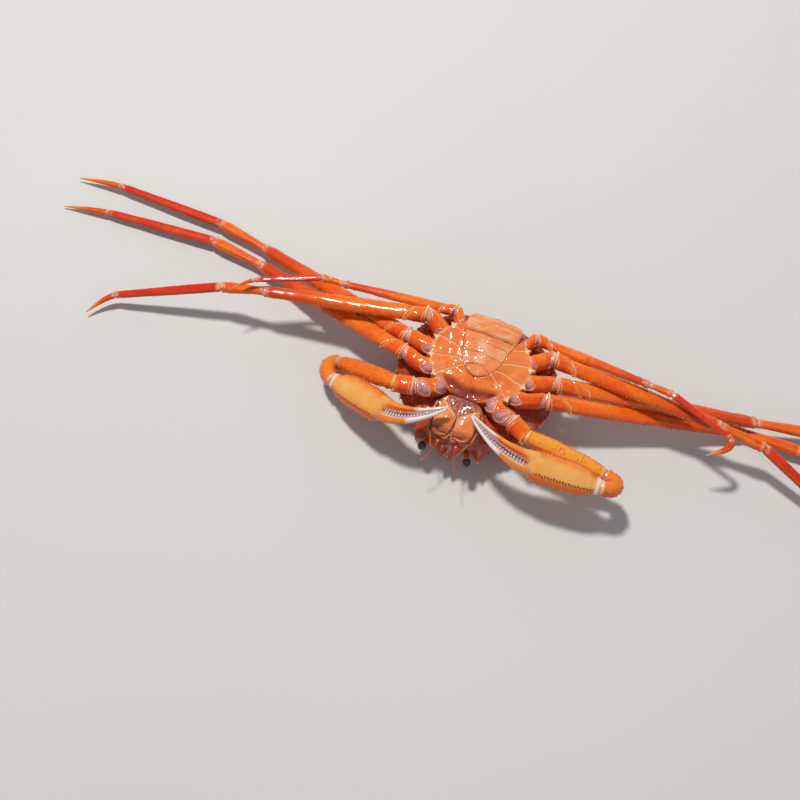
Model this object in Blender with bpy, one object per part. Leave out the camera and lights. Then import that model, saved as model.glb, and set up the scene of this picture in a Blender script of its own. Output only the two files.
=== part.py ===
"""A red snow crab lying on its back, as a still, life-size museum model.

Sizes are millimetres and turned into metres once, where a mesh is made. +Z is up and shows the
underside of the animal, its mouth faces -Y, its left side is -X. The floor is z = 0, and the
back of the shell rests on it under the origin.
"""
import bmesh
import bpy
import math
import numpy as np
from mathutils import Matrix, Vector

MM = 0.001
GAP = 0.3
SHARP_ANGLE = 50
SIDES = {"left": -1, "right": 1}

# Body
SHELL_HEIGHT = 31.2
SHELL_DOME = 3.0
SHELL_CENTRE = (0.0, 2.0)
SHELL_FRONT = ((0, -63.0), (3.2, -69.5), (6.2, -63.5), (11.0, -60.6), (18.5, -59.4), (23.5, -62.5))
SHELL_FLANK = ((27.0, -55), (34, -48), (45, -38), (53, -25), (58, -10), (59, 4), (54.5, 18), (45, 30),
               (31, 38.5), (15, 42.3), (0, 43.5))
MARGIN_HEIGHTS = ((-70, 20.0), (-45, 22.5), (0, 26.0), (30, 28.5), (44, 30.5))

# Raised regions of the back, on which the shell rests: name, centre, radius and how far each stands out
SWELLINGS = (("heart", 0, 3, 10, 5.4), ("stomach", 0, -30, 12, 5.0), ("gill_left", -31, 6, 14, 5.2),
             ("gill_right", 31, 6, 14, 5.2))

LEG_JUNCTIONS = ((12.0, -28.0), (28.4, -20.3), (36.0, -6.8), (37.0, 8.1), (29.0, 21.8), (21.0, 32.0))
JUNCTION_SPURS = (1.4, 2.2, 2.6, 2.4)
JUNCTION_HALF = 1.2
STERNUM_TOP = 45.4
LEG_ROOT_HEIGHT = 39.5

# The folded abdomen from its root to its tip: place along Y, height, half width, half thickness
ABDOMEN_STATIONS = ((37.8, 32.1, 18.6, 3.3), (37.4, 36.6, 19.4, 3.3), (35.6, 41.0, 20.0, 2.9),
                    (31.4, 44.6, 20.3, 2.0), (26.5, 46.4, 20.3, 1.5), (18.5, 46.5, 18.3, 1.3),
                    (9.0, 46.5, 15.8, 1.3), (5.0, 46.5, 15.2, 1.3), (-1.5, 46.5, 13.0, 1.3),
                    (-7.6, 46.5, 8.8, 1.3), (-10.2, 46.5, 6.0, 1.2), (-12.2, 46.4, 2.4, 1.0))
ABDOMEN_JOINTS = (29.2, 22.6, 12.4, 2.0, -5.0)
JOINT_GROOVE = (0.9, 0.35)

MOUTH_TOP = 40.5
MOUTH_SLOPE = 0.14
MOUTH_OUTLINE = ((0, -28.9), (9, -29.3), (15, -33.0), (18.5, -40.0), (19.0, -50.0),
                 (15.0, -58.0), (0, -59.0))
MOUTH_PLATE_OUTLINE = ((0.4, -45.5), (7.0, -40.0), (13.5, -34.8), (15.6, -41.0), (14.0, -56.4),
                       (7.5, -57.6), (1.6, -57.4), (0.6, -51.0))
MOUTH_PLATE_THICKNESS = 4.4

# Eyes: place across and height on the front wall, then distance along the stalk and radius.
# Antennae: root on the mouth field's front, tip, then share of the length and radius
EYE_PLACE = (14.5, 24.0)
EYE_SIZES = ((0.0, 1.8), (3.6, 1.8), (5.0, 2.5), (6.8, 3.1), (8.6, 2.6), (9.8, 1.2))
ANTENNA_ROOT = (6.5, -58.57, 33.6)
ANTENNA_TIP = (13.0, -80.0, 30.0)
ANTENNA_SIZES = ((0.0, 1.5), (0.18, 1.5), (0.36, 0.9), (0.7, 0.6), (1.0, 0.3))

# Walking legs, first to last: length of each segment and width across the leg
LEG_LENGTHS = {1: (22.0, 149.0, 45.0, 92.0, 39.0), 2: (20.5, 150.0, 44.0, 92.0, 38.0),
               3: (18.0, 126.0, 34.0, 87.0, 26.0), 4: (11.0, 86.0, 17.0, 50.0, 20.0)}
LEG_WIDTHS = {1: 12.2, 2: 12.0, 3: 11.8, 4: 7.6}
BASE_WIDTHS = {1: 12.9, 2: 12.8, 3: 12.6, 4: 9.4}
ISCHIUM_LENGTHS = {1: 14.0, 2: 14.0, 3: 13.0, 4: 9.0}
# Turn to the rear and lift of each segment in degrees, measured from straight out of that side
LEG_POSE = {
    ("left", 1): ((12, -8), (16.4, -11.1), (7.4, -1.0), (-4.6, -1.2), (-10.3, -4.0)),
    ("left", 2): ((10.5, -8), (17.0, -11.2), (10.0, -0.5), (1.0, -0.6), (-7.0, -3.4)),
    ("left", 3): ((27.5, 7), (-11.2, -3.4), (-10.7, -10.0), (-20.4, -11.8), (-50.0, -13.0)),
    ("left", 4): ((52.0, 0), (-8.0, 1.6), (-6.2, 3.0), (-24.4, -1.0), (-44.0, -5.6)),
    ("right", 1): ((18.6, -9.0), (18.1, -10.9), (2.0, 0.0), (-10.0, -1.0), (-18.0, -4.5)),
    ("right", 2): ((21.6, -6.5), (14.8, -8.4), (13.0, -4.0), (4.0, -3.4), (-6.0, -6.0)),
    ("right", 3): ((33.0, 2.0), (-0.5, -2.8), (-1.0, -11.0), (-20.5, -12.5), (-34.0, -10.0)),
    ("right", 4): ((55.0, 2.0), (-3.8, 2.6), (-3.0, 1.5), (-18.5, -3.0), (-128.0, -25.0)),
}
CURLED_TIPS = {("right", 4): 30.0}

# Claw limbs: length, turn and lift of each stretch, then the hand
CLAW_POSE = {
    "left": ((18.5, -28.0, 0.0), (13.5, -9.0, -3.0), (57.0, 12.0, -27.0)),
    "right": ((17.7, -26.7, 0.0), (14.6, -24.1, 0.0), (60.0, -2.7, -9.0)),
}
HAND_POSE = {
    "left": ((-96.4, -43.0, 20.5), -163.5, 19.0),
    "right": ((108.7, -53.8, 38.0), -176.0, 4.5),
}
CLAW_WIDTH = 13.2
CLAW_BASE_WIDTH = 14.2
PALM_LENGTH = 49.0
PALM_WIDTH = 23.0
PALM_THICKNESS = 12.0
PALM_ROLL = 18.0
FINGER_TIPS = {"left": (42.5, -22.5, -5.0), "right": (49.0, -18.0, -1.0)}
CARPUS_HANDLE = 12.5

# Limb segments in profile: place along the segment, width and thickness as shares of limb width
COXA_PROFILE = ((0.0, 0.93, 0.94), (0.22, 0.99, 1.0), (0.6, 1.0, 1.0), (0.86, 0.93, 0.93),
                (1.0, 0.83, 0.83))
ISCHIUM_PROFILE = ((0.18, 0.93, 0.86), (0.6, 0.95, 0.76), (1.0, 0.90, 0.62))
MERUS_PROFILE = ((0.0, 0.94, 0.62), (0.08, 0.99, 0.63), (0.3, 1.0, 0.62), (0.6, 0.9, 0.58),
                 (0.87, 0.74, 0.52), (0.95, 0.78, 0.56), (1.0, 0.62, 0.48))
CARPUS_PROFILE = ((0.0, 0.56, 0.44), (0.12, 0.54, 0.44), (0.5, 0.64, 0.50), (0.86, 0.74, 0.55),
                  (1.0, 0.58, 0.45))
PROPODUS_PROFILE = ((0.0, 0.54, 0.42), (0.07, 0.64, 0.48), (0.4, 0.62, 0.45), (0.8, 0.50, 0.40),
                    (0.95, 0.48, 0.38), (1.0, 0.38, 0.31))
DACTYL_PROFILE = ((0.0, 0.36, 0.30), (0.1, 0.42, 0.34), (0.4, 0.34, 0.27), (0.75, 0.2, 0.17),
                  (1.0, 0.065, 0.06))
CLAW_MERUS_PROFILE = ((0.0, 0.74, 0.66), (0.12, 0.86, 0.72), (0.38, 1.0, 0.76), (0.65, 0.98, 0.74),
                      (0.9, 0.82, 0.68), (1.0, 0.60, 0.54))

# Rings along the claw's carpus, palm and fingers: place, then half width and half thickness in
# millimetres; the palm's are shares of its own width and thickness, with a shift to the hinge side
CARPUS_SIZES = ((0.0, 4.0, 3.6), (0.16, 5.0, 5.0), (0.38, 5.8, 6.0), (0.62, 6.0, 6.2), (0.84, 5.6, 5.4),
                (1.0, 4.8, 4.4))
PALM_SIZES = ((0.0, 0.23, 0.33, 0.0), (0.07, 0.28, 0.40, 0.0), (0.2, 0.40, 0.47, 0.0),
              (0.45, 0.49, 0.50, 0.0), (0.75, 0.49, 0.48, 0.3), (0.94, 0.45, 0.43, 0.6),
              (1.0, 0.42, 0.39, 0.7))
FINGER_SIZES = ((0.0, 4.3, 4.0), (0.2, 3.9, 3.8), (0.45, 2.8, 3.2), (0.7, 1.9, 2.4), (0.88, 1.1, 1.6),
                (1.0, 0.45, 0.6))

# Rows of spines along the edges of limbs: the way the edge faces, number, first and last place
# along the segment, length and root radius
SPINE_SIDES = 5
SPINE_SINK = 0.8
SPINE_ROOM = 0.6
SPINE_SEED = 11
FRONT = (0, -1, 0)
REAR = (0, 1, 0)
UPPER_FRONT = (0, -0.9, 1)
UPPER_REAR = (0, 0.9, 1)
LEG_SPINES = {1: ((FRONT, 11, 0.06, 0.93, 1.5, 0.95), (UPPER_REAR, 8, 0.12, 0.92, 1.2, 0.85)),
              2: ((UPPER_FRONT, 9, 0.08, 0.93, 1.3, 0.85), (REAR, 8, 0.12, 0.92, 1.3, 0.85)),
              3: ((FRONT, 9, 0.10, 0.92, 1.3, 0.85), (UPPER_REAR, 7, 0.12, 0.92, 1.1, 0.8)),
              4: ((REAR, 5, 0.2, 0.85, 0.8, 0.6),)}
CLAW_MERUS_SPINES = ((FRONT, 9, 0.12, 0.92, 1.5, 0.95), (REAR, 9, 0.12, 0.92, 1.5, 0.95))
CLAW_CARPUS_SPINES = 4
PALM_SPINES = 9
SHELL_SPINES = (("rim", 7, 17, 2.0, 1.15, 0.0), ("back", 5, 12, 1.5, 1.0, -0.5),
                ("belly", 8, 11, 1.4, 0.95, 0.55))

ORANGE = (0.86, 0.20, 0.035)
DEEP_ORANGE = (0.78, 0.13, 0.03)
RED = (0.62, 0.05, 0.02)
PEACH = (0.86, 0.36, 0.17)
SHELL_RED = (0.36, 0.06, 0.035)
PALE = (0.88, 0.72, 0.62)
PALM_YELLOW = (0.86, 0.36, 0.07)
MOUTH_BROWN = (0.62, 0.24, 0.15)
BLACK = (0.02, 0.015, 0.015)


RANDOM = np.random.default_rng(SPINE_SEED)


def clear_scene():
    """Start from an empty file."""
    for item in list(bpy.data.objects):
        bpy.data.objects.remove(item, do_unlink=True)


def unit(vector):
    """The vector at length one."""
    vector = np.asarray(vector, dtype=float)
    return vector / np.linalg.norm(vector)


def outward(side, turn, lift):
    """The direction that leaves the body on one side, turned to the rear and lifted, in degrees."""
    a = math.radians(turn)
    b = math.radians(lift)
    return np.array([SIDES[side] * math.cos(a) * math.cos(b), math.sin(a) * math.cos(b), math.sin(b)])


def paint(item, colour, roughness=0.3):
    """Give an object a material of its own."""
    material = bpy.data.materials.new(item.name + "_shell")
    material.use_nodes = True
    shader = material.node_tree.nodes["Principled BSDF"]
    shader.inputs["Base Color"].default_value = (*colour, 1.0)
    shader.inputs["Roughness"].default_value = roughness
    shader.inputs["Metallic"].default_value = 0.0
    item.data.materials.clear()
    item.data.materials.append(material)


def oval(centre, direction, up, half_width, half_thick, sides, power=2.2):
    """A closed flat ring of points round the centre, square to the direction."""
    along = unit(direction)
    across = unit(np.cross(along, up))
    over = np.cross(across, along)
    angle = np.arange(sides) * 2 * math.pi / sides
    cosine = np.cos(angle)
    sine = np.sin(angle)
    reach = (np.abs(cosine) ** power + np.abs(sine) ** power) ** (-1 / power)
    flat = half_width * (reach * cosine)[:, None] * across
    tall = half_thick * (reach * sine)[:, None] * over
    return np.asarray(centre, dtype=float) + flat + tall


def loft(rings, low_point=None, high_point=None):
    """Points and faces of the closed body through rings of equal count, with a fan at each end."""
    count = len(rings[0])
    low_point = rings[0].mean(axis=0) if low_point is None else np.asarray(low_point, dtype=float)
    high_point = rings[-1].mean(axis=0) if high_point is None else np.asarray(high_point, dtype=float)
    points = np.vstack([*rings, low_point, high_point])
    low = len(points) - 2
    high = len(points) - 1
    last = (len(rings) - 1) * count
    faces = []
    for i in range(count):
        j = (i + 1) % count
        faces.append((low, j, i))
        faces.append((high, last + i, last + j))
        for k in range(len(rings) - 1):
            faces.append((k * count + i, k * count + j, (k + 1) * count + j, (k + 1) * count + i))
    return points, faces


def make_node(collection, name, body, colour, roughness=0.3):
    """A mesh object from points in millimetres, shaded smooth, with faces that point out."""
    points, faces = body
    mesh = bpy.data.meshes.new(name)
    mesh.from_pydata((points * MM).tolist(), [], faces)
    volume = 0.0
    for face in faces:
        for b, c in zip(face[1:-1], face[2:]):
            volume += float(np.dot(points[face[0]], np.cross(points[b], points[c])))
    if volume < 0:
        mesh.flip_normals()
    mesh.update()
    mesh.shade_smooth()
    mesh.set_sharp_from_angle(angle=math.radians(SHARP_ANGLE))
    item = bpy.data.objects.new(name, mesh)
    collection.objects.link(item)
    paint(item, colour, roughness)
    return item


def spine_row(rings, way, count, first, last, length, radius):
    """Roots, directions and sizes of a row of spines along the edge of a body of rings."""
    centres = [ring.mean(axis=0) for ring in rings]
    middle = len(rings) // 2
    column = int(np.argmax((rings[middle] - centres[middle]) @ np.asarray(way, dtype=float)))
    edge = np.array([ring[column] for ring in rings])
    axis = np.array(centres)
    steps = np.linalg.norm(np.diff(edge, axis=0), axis=1)
    place = np.concatenate([[0.0], np.cumsum(steps)]) / steps.sum()
    ahead = unit(axis[-1] - axis[0])
    spines = []
    for k, at in enumerate(np.linspace(first, last, count)):
        at += RANDOM.uniform(-0.18, 0.18) * (last - first) / count
        root = np.array([np.interp(at, place, edge[:, i]) for i in range(3)])
        core = np.array([np.interp(at, place, axis[:, i]) for i in range(3)])
        size = RANDOM.uniform(0.8, 1.15)
        spines.append((root, unit(root - core) + 0.35 * ahead, length * size, radius * size))
    return spines


def spine_cone(collection, root, direction, length, radius):
    """One pointed spine with its root sunk into the surface."""
    form = bmesh.new()
    depth = length + SPINE_SINK
    bmesh.ops.create_cone(form, cap_ends=True, segments=SPINE_SIDES, radius1=radius * MM, radius2=0,
                          depth=depth * MM)
    turn = Vector(direction).to_track_quat("Z", "Y").to_matrix().to_4x4()
    centre = Vector((np.asarray(root) + unit(direction) * (depth / 2 - SPINE_SINK)) * MM)
    form.transform(Matrix.Translation(centre) @ turn)
    mesh = bpy.data.meshes.new("spine")
    form.to_mesh(mesh)
    form.free()
    collection.objects.link(bpy.data.objects.new("spine", mesh))


def keep_largest(mesh):
    """Drop every closed surface of the mesh but the one with the most volume."""
    form = bmesh.new()
    form.from_mesh(mesh)
    form.faces.ensure_lookup_table()
    left = set(form.faces)
    best = None
    size = -1.0
    while left:
        island = set()
        edge = [left.pop()]
        while edge:
            face = edge.pop()
            island.add(face)
            for line in face.edges:
                for other in line.link_faces:
                    if other in left:
                        left.discard(other)
                        edge.append(other)
        volume = abs(sum(face.calc_center_median().dot(face.normal) * face.calc_area() for face in island))
        if volume > size:
            size = volume
            best = island
    bmesh.ops.delete(form, geom=[face for face in form.faces if face not in best], context="FACES")
    form.to_mesh(mesh)
    form.free()


def fuse_spines(item, spines):
    """Join spines to a node with one union, so that the node stays one closed body."""
    cones = bpy.data.collections.new(item.name + "_spines")
    bpy.context.scene.collection.children.link(cones)
    for spine in spines:
        spine_cone(cones, *spine)
    union = item.modifiers.new("union", "BOOLEAN")
    union.operation = "UNION"
    union.operand_type = "COLLECTION"
    union.collection = cones
    union.solver = "EXACT"
    mesh = bpy.data.meshes.new_from_object(item.evaluated_get(bpy.context.evaluated_depsgraph_get()))
    item.modifiers.clear()
    old = item.data
    item.data = mesh
    bpy.data.meshes.remove(old)
    mesh.name = item.name
    for cone in list(cones.objects):
        bpy.data.objects.remove(cone, do_unlink=True)
    bpy.data.collections.remove(cones)
    keep_largest(mesh)
    mesh.shade_smooth()
    mesh.set_sharp_from_angle(angle=math.radians(SHARP_ANGLE))


def along_line(start, end, profile, width, sides, first, last, up=(0, 0, 1)):
    """Rings of a straight segment whose end faces are square to the directions first and last."""
    start = np.asarray(start, dtype=float)
    end = np.asarray(end, dtype=float)
    own = unit(end - start)
    rings = []
    for place, wide, thick in profile:
        direction = own
        if place == 0.0:
            direction = first
        if place == 1.0:
            direction = last
        centre = start + (end - start) * place
        rings.append(oval(centre, direction, up, width * wide / 2, width * thick / 2, sides))
    return rings


def curve_points(start, first, end, last, places):
    """Points and directions of a cubic curve between two ends with the given handle vectors."""
    t = np.asarray(places, dtype=float)[:, None]
    a = np.asarray(start, dtype=float)
    d = np.asarray(end, dtype=float)
    b = a + first
    c = d - last
    points = a * (1 - t) ** 3 + 3 * b * t * (1 - t) ** 2 + 3 * c * t ** 2 * (1 - t) + d * t ** 3
    slopes = 3 * (b - a) * (1 - t) ** 2 + 6 * (c - b) * t * (1 - t) + 3 * (d - c) * t ** 2
    return points, slopes


def bay(side, leg):
    """Middle and outward normal of the sternum's edge for one limb; limb 0 is the claw."""
    a = np.array(LEG_JUNCTIONS[leg])
    b = np.array(LEG_JUNCTIONS[leg + 1])
    edge = unit(b - a)
    middle = (a + b) / 2
    flip = np.array([SIDES[side], 1.0])
    normal = np.array([edge[1], -edge[0]]) * flip
    return np.array([*(middle * flip), LEG_ROOT_HEIGHT]), np.array([*normal, 0.0])


def base_rings(root, normal, ring_point, end_point, last, width, sides):
    """Rings of a limb's base: the coxa from the sternum to its waist, then the short ischium."""
    on = unit(end_point - ring_point)
    start = root + normal * GAP
    span = np.linalg.norm(ring_point - start)
    waist = unit(unit(ring_point - root) + on)
    places = [row[0] for row in COXA_PROFILE]
    points, _ = curve_points(start, normal * span * 0.3, ring_point, waist * span * 0.3, places)
    rings = [oval(point, normal * (1 - place) + waist * place, (0, 0, 1), width * wide / 2,
                  width * thick / 2, sides)
             for point, (place, wide, thick) in zip(points, COXA_PROFILE)]
    for place, wide, thick in ISCHIUM_PROFILE:
        direction = last if place == 1.0 else on
        rings.append(oval(ring_point + (end_point - ring_point) * place, direction, (0, 0, 1),
                          width * wide / 2, width * thick / 2, sides))
    return rings


def leg_joints(side, leg):
    """The joint points of a walking leg from the sternum to the tip, with the ischium's end."""
    root, _ = bay(side, leg)
    points = [root]
    for length, (turn, lift) in zip(LEG_LENGTHS[leg], LEG_POSE[side, leg]):
        points.append(points[-1] + length * outward(side, turn, lift))
    run = unit(points[2] - points[1])
    points.insert(2, points[1] + ISCHIUM_LENGTHS[leg] * run)
    return points


def clear_of_neighbours(spines, side, leg):
    """The spines of one leg whose tips stay clear of the legs before and after it."""
    kept = []
    for root, direction, length, radius in spines:
        tip = root + unit(direction) * length
        room = []
        for other in (leg - 1, leg + 1):
            if other in LEG_LENGTHS:
                joints = leg_joints(side, other)[1:5]
                for a, b in zip(joints[:-1], joints[1:]):
                    place = np.clip(np.dot(tip - a, b - a) / np.dot(b - a, b - a), 0, 1)
                    room.append(np.linalg.norm(tip - a - place * (b - a)) - LEG_WIDTHS[other] / 2)
        if min(room) > SPINE_ROOM:
            kept.append((root, direction, length, radius))
    return kept


def build_leg(collection, side, leg):
    """The five nodes of one walking leg, each meeting the next on a shared joint plane."""
    joints = leg_joints(side, leg)
    runs = [unit(b - a) for a, b in zip(joints[:-1], joints[1:])]
    width = LEG_WIDTHS[leg]
    name = f"leg_{leg}_{side}"
    half = GAP / 2
    planes = [unit(a + b) for a, b in zip(runs[1:-1], runs[2:])]
    tip_turn = CURLED_TIPS.get((side, leg))
    if tip_turn is not None:
        tip_turn = math.radians(tip_turn)
        planes[-1] = unit(runs[-2] * math.cos(tip_turn) + runs[-1] * math.sin(tip_turn))
    root, normal = bay(side, leg)
    rings = base_rings(root, normal, joints[1], joints[2] - planes[0] * half, planes[0],
                       BASE_WIDTHS[leg], 12)
    make_node(collection, name + "_base", loft(rings), DEEP_ORANGE)
    parts = (("merus", MERUS_PROFILE, 10, ORANGE), ("carpus", CARPUS_PROFILE, 10, DEEP_ORANGE),
             ("propodus", PROPODUS_PROFILE, 10, RED))
    for k, (part, profile, sides, colour) in enumerate(parts):
        first = planes[k]
        last = planes[k + 1]
        rings = along_line(joints[k + 2] + first * half, joints[k + 3] - last * half, profile, width,
                           sides, first, last)
        item = make_node(collection, f"{name}_{part}", loft(rings), colour)
        if part == "merus":
            spines = [spine for row in LEG_SPINES[leg] for spine in spine_row(rings, *row)]
            fuse_spines(item, clear_of_neighbours(spines, side, leg))
    first = planes[-1]
    start = joints[-2] + first * half
    length = LEG_LENGTHS[leg][-1]
    bend = runs[-1] - 0.35 * first
    places = [row[0] for row in DACTYL_PROFILE]
    points, slopes = curve_points(start, first * length * 0.4, joints[-1], unit(bend) * length * 0.35,
                                  places)
    rings = []
    for point, slope, (place, wide, thick) in zip(points, slopes, DACTYL_PROFILE):
        direction = first if place == 0.0 else slope
        rings.append(oval(point, direction, (0, 0, 1), width * wide / 2, width * thick / 2, 8))
    make_node(collection, name + "_dactyl", loft(rings), DEEP_ORANGE)


def hand_axes(side):
    """Start, length direction, hinge-side direction and face direction of the hand."""
    start, turn, lift = HAND_POSE[side]
    along = outward(side, turn, lift)
    across = unit(np.cross(along, (0, 0, 1)))
    if across[1] > 0:
        across = -across
    up = unit(np.cross(across, along))
    if up[2] < 0:
        up = -up
    roll = math.radians(PALM_ROLL)
    hinge = across * math.cos(roll) - up * math.sin(roll)
    face = up * math.cos(roll) + across * math.sin(roll)
    return np.array(start), along, hinge, face


def finger_rings(origin, along, hinge, face, root, knee, tip, sides):
    """Rings of one finger of the claw, on a curve from its root to the shared tip."""
    frame = np.array([along, hinge, face])
    tip = np.array(tip) + np.array([0.0, 0.9 * np.sign(root[1]), 0.0])
    a = origin + np.array(root) @ frame
    b = origin + np.array(knee) @ frame
    c = origin + tip @ frame
    rings = []
    for place, half_width, half_thick in FINGER_SIZES:
        centre = a * (1 - place) ** 2 + 2 * b * place * (1 - place) + c * place ** 2
        slope = (b - a) * (1 - place) + (c - b) * place
        direction = along if place == 0.0 else slope
        rings.append(oval(centre, direction, face, half_width, half_thick, sides))
    return rings


def build_claw(collection, side):
    """The five nodes of one claw limb: base, merus, carpus, hand with fixed finger, loose finger."""
    name = f"claw_{side}"
    half = GAP / 2
    root, normal = bay(side, 0)
    joints = [root]
    for length, turn, lift in CLAW_POSE[side]:
        joints.append(joints[-1] + length * outward(side, turn, lift))
    runs = [unit(b - a) for a, b in zip(joints[:-1], joints[1:])]
    elbow = unit(runs[1] + runs[2])
    rings = base_rings(root, normal, joints[1], joints[2] - elbow * half, elbow, CLAW_BASE_WIDTH, 12)
    make_node(collection, name + "_base", loft(rings), DEEP_ORANGE)
    rings = along_line(joints[2] + elbow * half, joints[3] - runs[2] * half, CLAW_MERUS_PROFILE,
                       CLAW_WIDTH, 12, elbow, runs[2])
    item = make_node(collection, name + "_merus", loft(rings), ORANGE)
    fuse_spines(item, [spine for row in CLAW_MERUS_SPINES for spine in spine_row(rings, *row)])

    start, along, hinge, face = hand_axes(side)
    places = [row[0] for row in CARPUS_SIZES]
    points, slopes = curve_points(joints[3] + runs[2] * half, runs[2] * CARPUS_HANDLE, start - along * half,
                                  along * CARPUS_HANDLE, places)
    rings = [oval(point, slope, (0, 0, 1), wide, thick, 12)
             for point, slope, (_, wide, thick) in zip(points, slopes, CARPUS_SIZES)]
    item = make_node(collection, name + "_carpus", loft(rings), RED)
    outer = (SIDES[side], 0.3, 0.0)
    fuse_spines(item, spine_row(rings, outer, CLAW_CARPUS_SPINES, 0.2, 0.8, 1.6, 1.0))

    rings = []
    for place, wide, thick, shift in PALM_SIZES:
        centre = start + along * (half + PALM_LENGTH * place) + hinge * shift
        rings.append(oval(centre, along, face, PALM_WIDTH * wide, PALM_THICKNESS * thick, 14))
    end = start + along * (half + PALM_LENGTH)
    fixed = finger_rings(end, along, hinge, face, (0.3, -4.4, 0.0), (24.0, -4.6, 1.5),
                         FINGER_TIPS[side], 14)
    item = make_node(collection, name + "_hand", loft(rings + fixed), PALM_YELLOW)
    fuse_spines(item, spine_row(rings, hinge, PALM_SPINES, 0.1, 0.93, 1.4, 0.95)
                + spine_row(rings, -hinge, PALM_SPINES, 0.1, 0.93, 1.2, 0.9))
    loose = finger_rings(end, along, hinge, face, (0.6, 5.0, 0.0), (25.0, 4.2, 1.5),
                         FINGER_TIPS[side], 12)
    make_node(collection, name + "_finger", loft(loose), PALE)


def mirrored(half):
    """A closed outline from its right half, which runs from the front middle to the rear middle."""
    half = np.asarray(half, dtype=float)
    back = half[::-1][1:-1] * (-1, 1)
    return np.vstack([half, back])


def rounded(points):
    """The open outline with one more point on each smooth stretch between its points."""
    points = np.asarray(points, dtype=float)
    before = np.vstack([points[:1], points[:-2]])
    after = np.vstack([points[2:], points[-2:-1] * (-1, 1)])
    middles = (9 * (points[:-1] + points[1:]) - before - after) / 16
    result = [points[0]]
    for middle, point in zip(middles, points[1:]):
        result.append(middle)
        result.append(point)
    return np.array(result)


def shell_outline():
    """The carapace seen from above, with its two front horns, eye notches and corner spines."""
    return mirrored(np.vstack([np.array(SHELL_FRONT, dtype=float), rounded(SHELL_FLANK)]))


def shell_underside(x, y, scale):
    """Height of the carapace's back over the floor: a flat dome less its swellings."""
    margin = np.interp(y, *zip(*MARGIN_HEIGHTS))
    height = SHELL_DOME + (margin - SHELL_DOME) * scale ** 5
    for _, cx, cy, radius, drop in SWELLINGS:
        height = height - drop * np.exp(-((x - cx) ** 2 + (y - cy) ** 2) / (2 * radius ** 2))
    return np.maximum(height, 0.0)


def shell_spines(ring, count, length, radius, rise):
    """Spines spread evenly round both flanks of one ring of the carapace."""
    flank = ring[(ring[:, 0] > 0) & (ring[:, 1] > SHELL_FLANK[0][1] - 0.5)]
    flank = flank[np.argsort(np.arctan2(flank[:, 1] - SHELL_CENTRE[1], flank[:, 0]))]
    steps = np.linalg.norm(np.diff(flank, axis=0), axis=1)
    place = np.concatenate([[0.0], np.cumsum(steps)]) / steps.sum()
    spines = []
    for side in SIDES.values():
        for at in np.linspace(0.02, 0.94, count):
            at += RANDOM.uniform(-0.2, 0.2) / count
            root = np.array([np.interp(at, place, flank[:, i]) for i in range(3)])
            out = unit((root[0], root[1] - SHELL_CENTRE[1] - 12.0, 0.0))
            size = RANDOM.uniform(0.75, 1.15) * (1.15 - 0.35 * at)
            direction = out + np.array([0.0, -0.25, rise])
            flip = np.array([side, 1.0, 1.0])
            spines.append((root * flip, unit(direction) * flip, length * size, radius * size))
    return spines


def shell_rings():
    """Rings of the carapace: from the middle of its back to the rim, then up to the flat bed."""
    outline = shell_outline() - SHELL_CENTRE
    radius = np.hypot(*outline.T)
    spread = np.arange(-3, 4)
    smooth = np.mean([np.roll(radius, k) for k in spread], axis=0)
    heading = outline / radius[:, None]
    rings = []
    for scale in (0.12, 0.25, 0.4, 0.56, 0.72, 0.86, 0.95, 1.0):
        blend = min(1.0, (1 - scale) * 9)
        size = (radius * (1 - blend) + smooth * blend) * scale
        flat = heading * size[:, None] + SHELL_CENTRE
        height = shell_underside(flat[:, 0], flat[:, 1], scale)
        rings.append(np.column_stack([flat, height]))
    rim = rings[-1]
    steep = np.abs(heading[:, 1]) ** 4
    bed = 0.64 + 0.31 * steep
    for step in (0.4, 1.0):
        size = (radius * (1 - step) + smooth * step) * (1 - step * (1 - bed))
        flat = heading * size[:, None] + SHELL_CENTRE
        height = rim[:, 2] + (SHELL_HEIGHT - rim[:, 2]) * step ** 0.7
        rings.append(np.column_stack([flat, height]))
    return rings


def front_wall(x, z, radius):
    """How far forward the carapace's front wall reaches along Y within a radius of one place."""
    reach = []
    for across in (x - radius, x, x + radius):
        walls = []
        for ring in shell_rings()[-3:]:
            front = ring[(ring[:, 0] >= 0) & (ring[:, 1] < -45)]
            front = front[np.argsort(front[:, 0])]
            walls.append([np.interp(across, front[:, 0], front[:, k]) for k in (2, 1)])
        reach.extend(np.interp((z - radius, z, z + radius), *zip(*walls)))
    return min(reach)


def build_carapace(collection):
    """The shell that lies on the floor, closed above by the flat bed of the sternum and legs."""
    rings = shell_rings()
    low = (*SHELL_CENTRE, 0.0)
    high = (*SHELL_CENTRE, SHELL_HEIGHT)
    item = make_node(collection, "carapace", loft(rings, low, high), SHELL_RED, 0.4)
    spines = []
    for _, level, count, length, radius, rise in SHELL_SPINES:
        spines.extend(shell_spines(rings[level], count, length, radius, rise))
    fuse_spines(item, spines)


def abdomen_half_width(y):
    """Half width of the folded abdomen where it lies on the sternum."""
    stations = [row for row in ABDOMEN_STATIONS if row[1] > 44][::-1]
    return np.interp(y, [row[0] for row in stations], [row[2] for row in stations], left=0.0)


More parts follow.
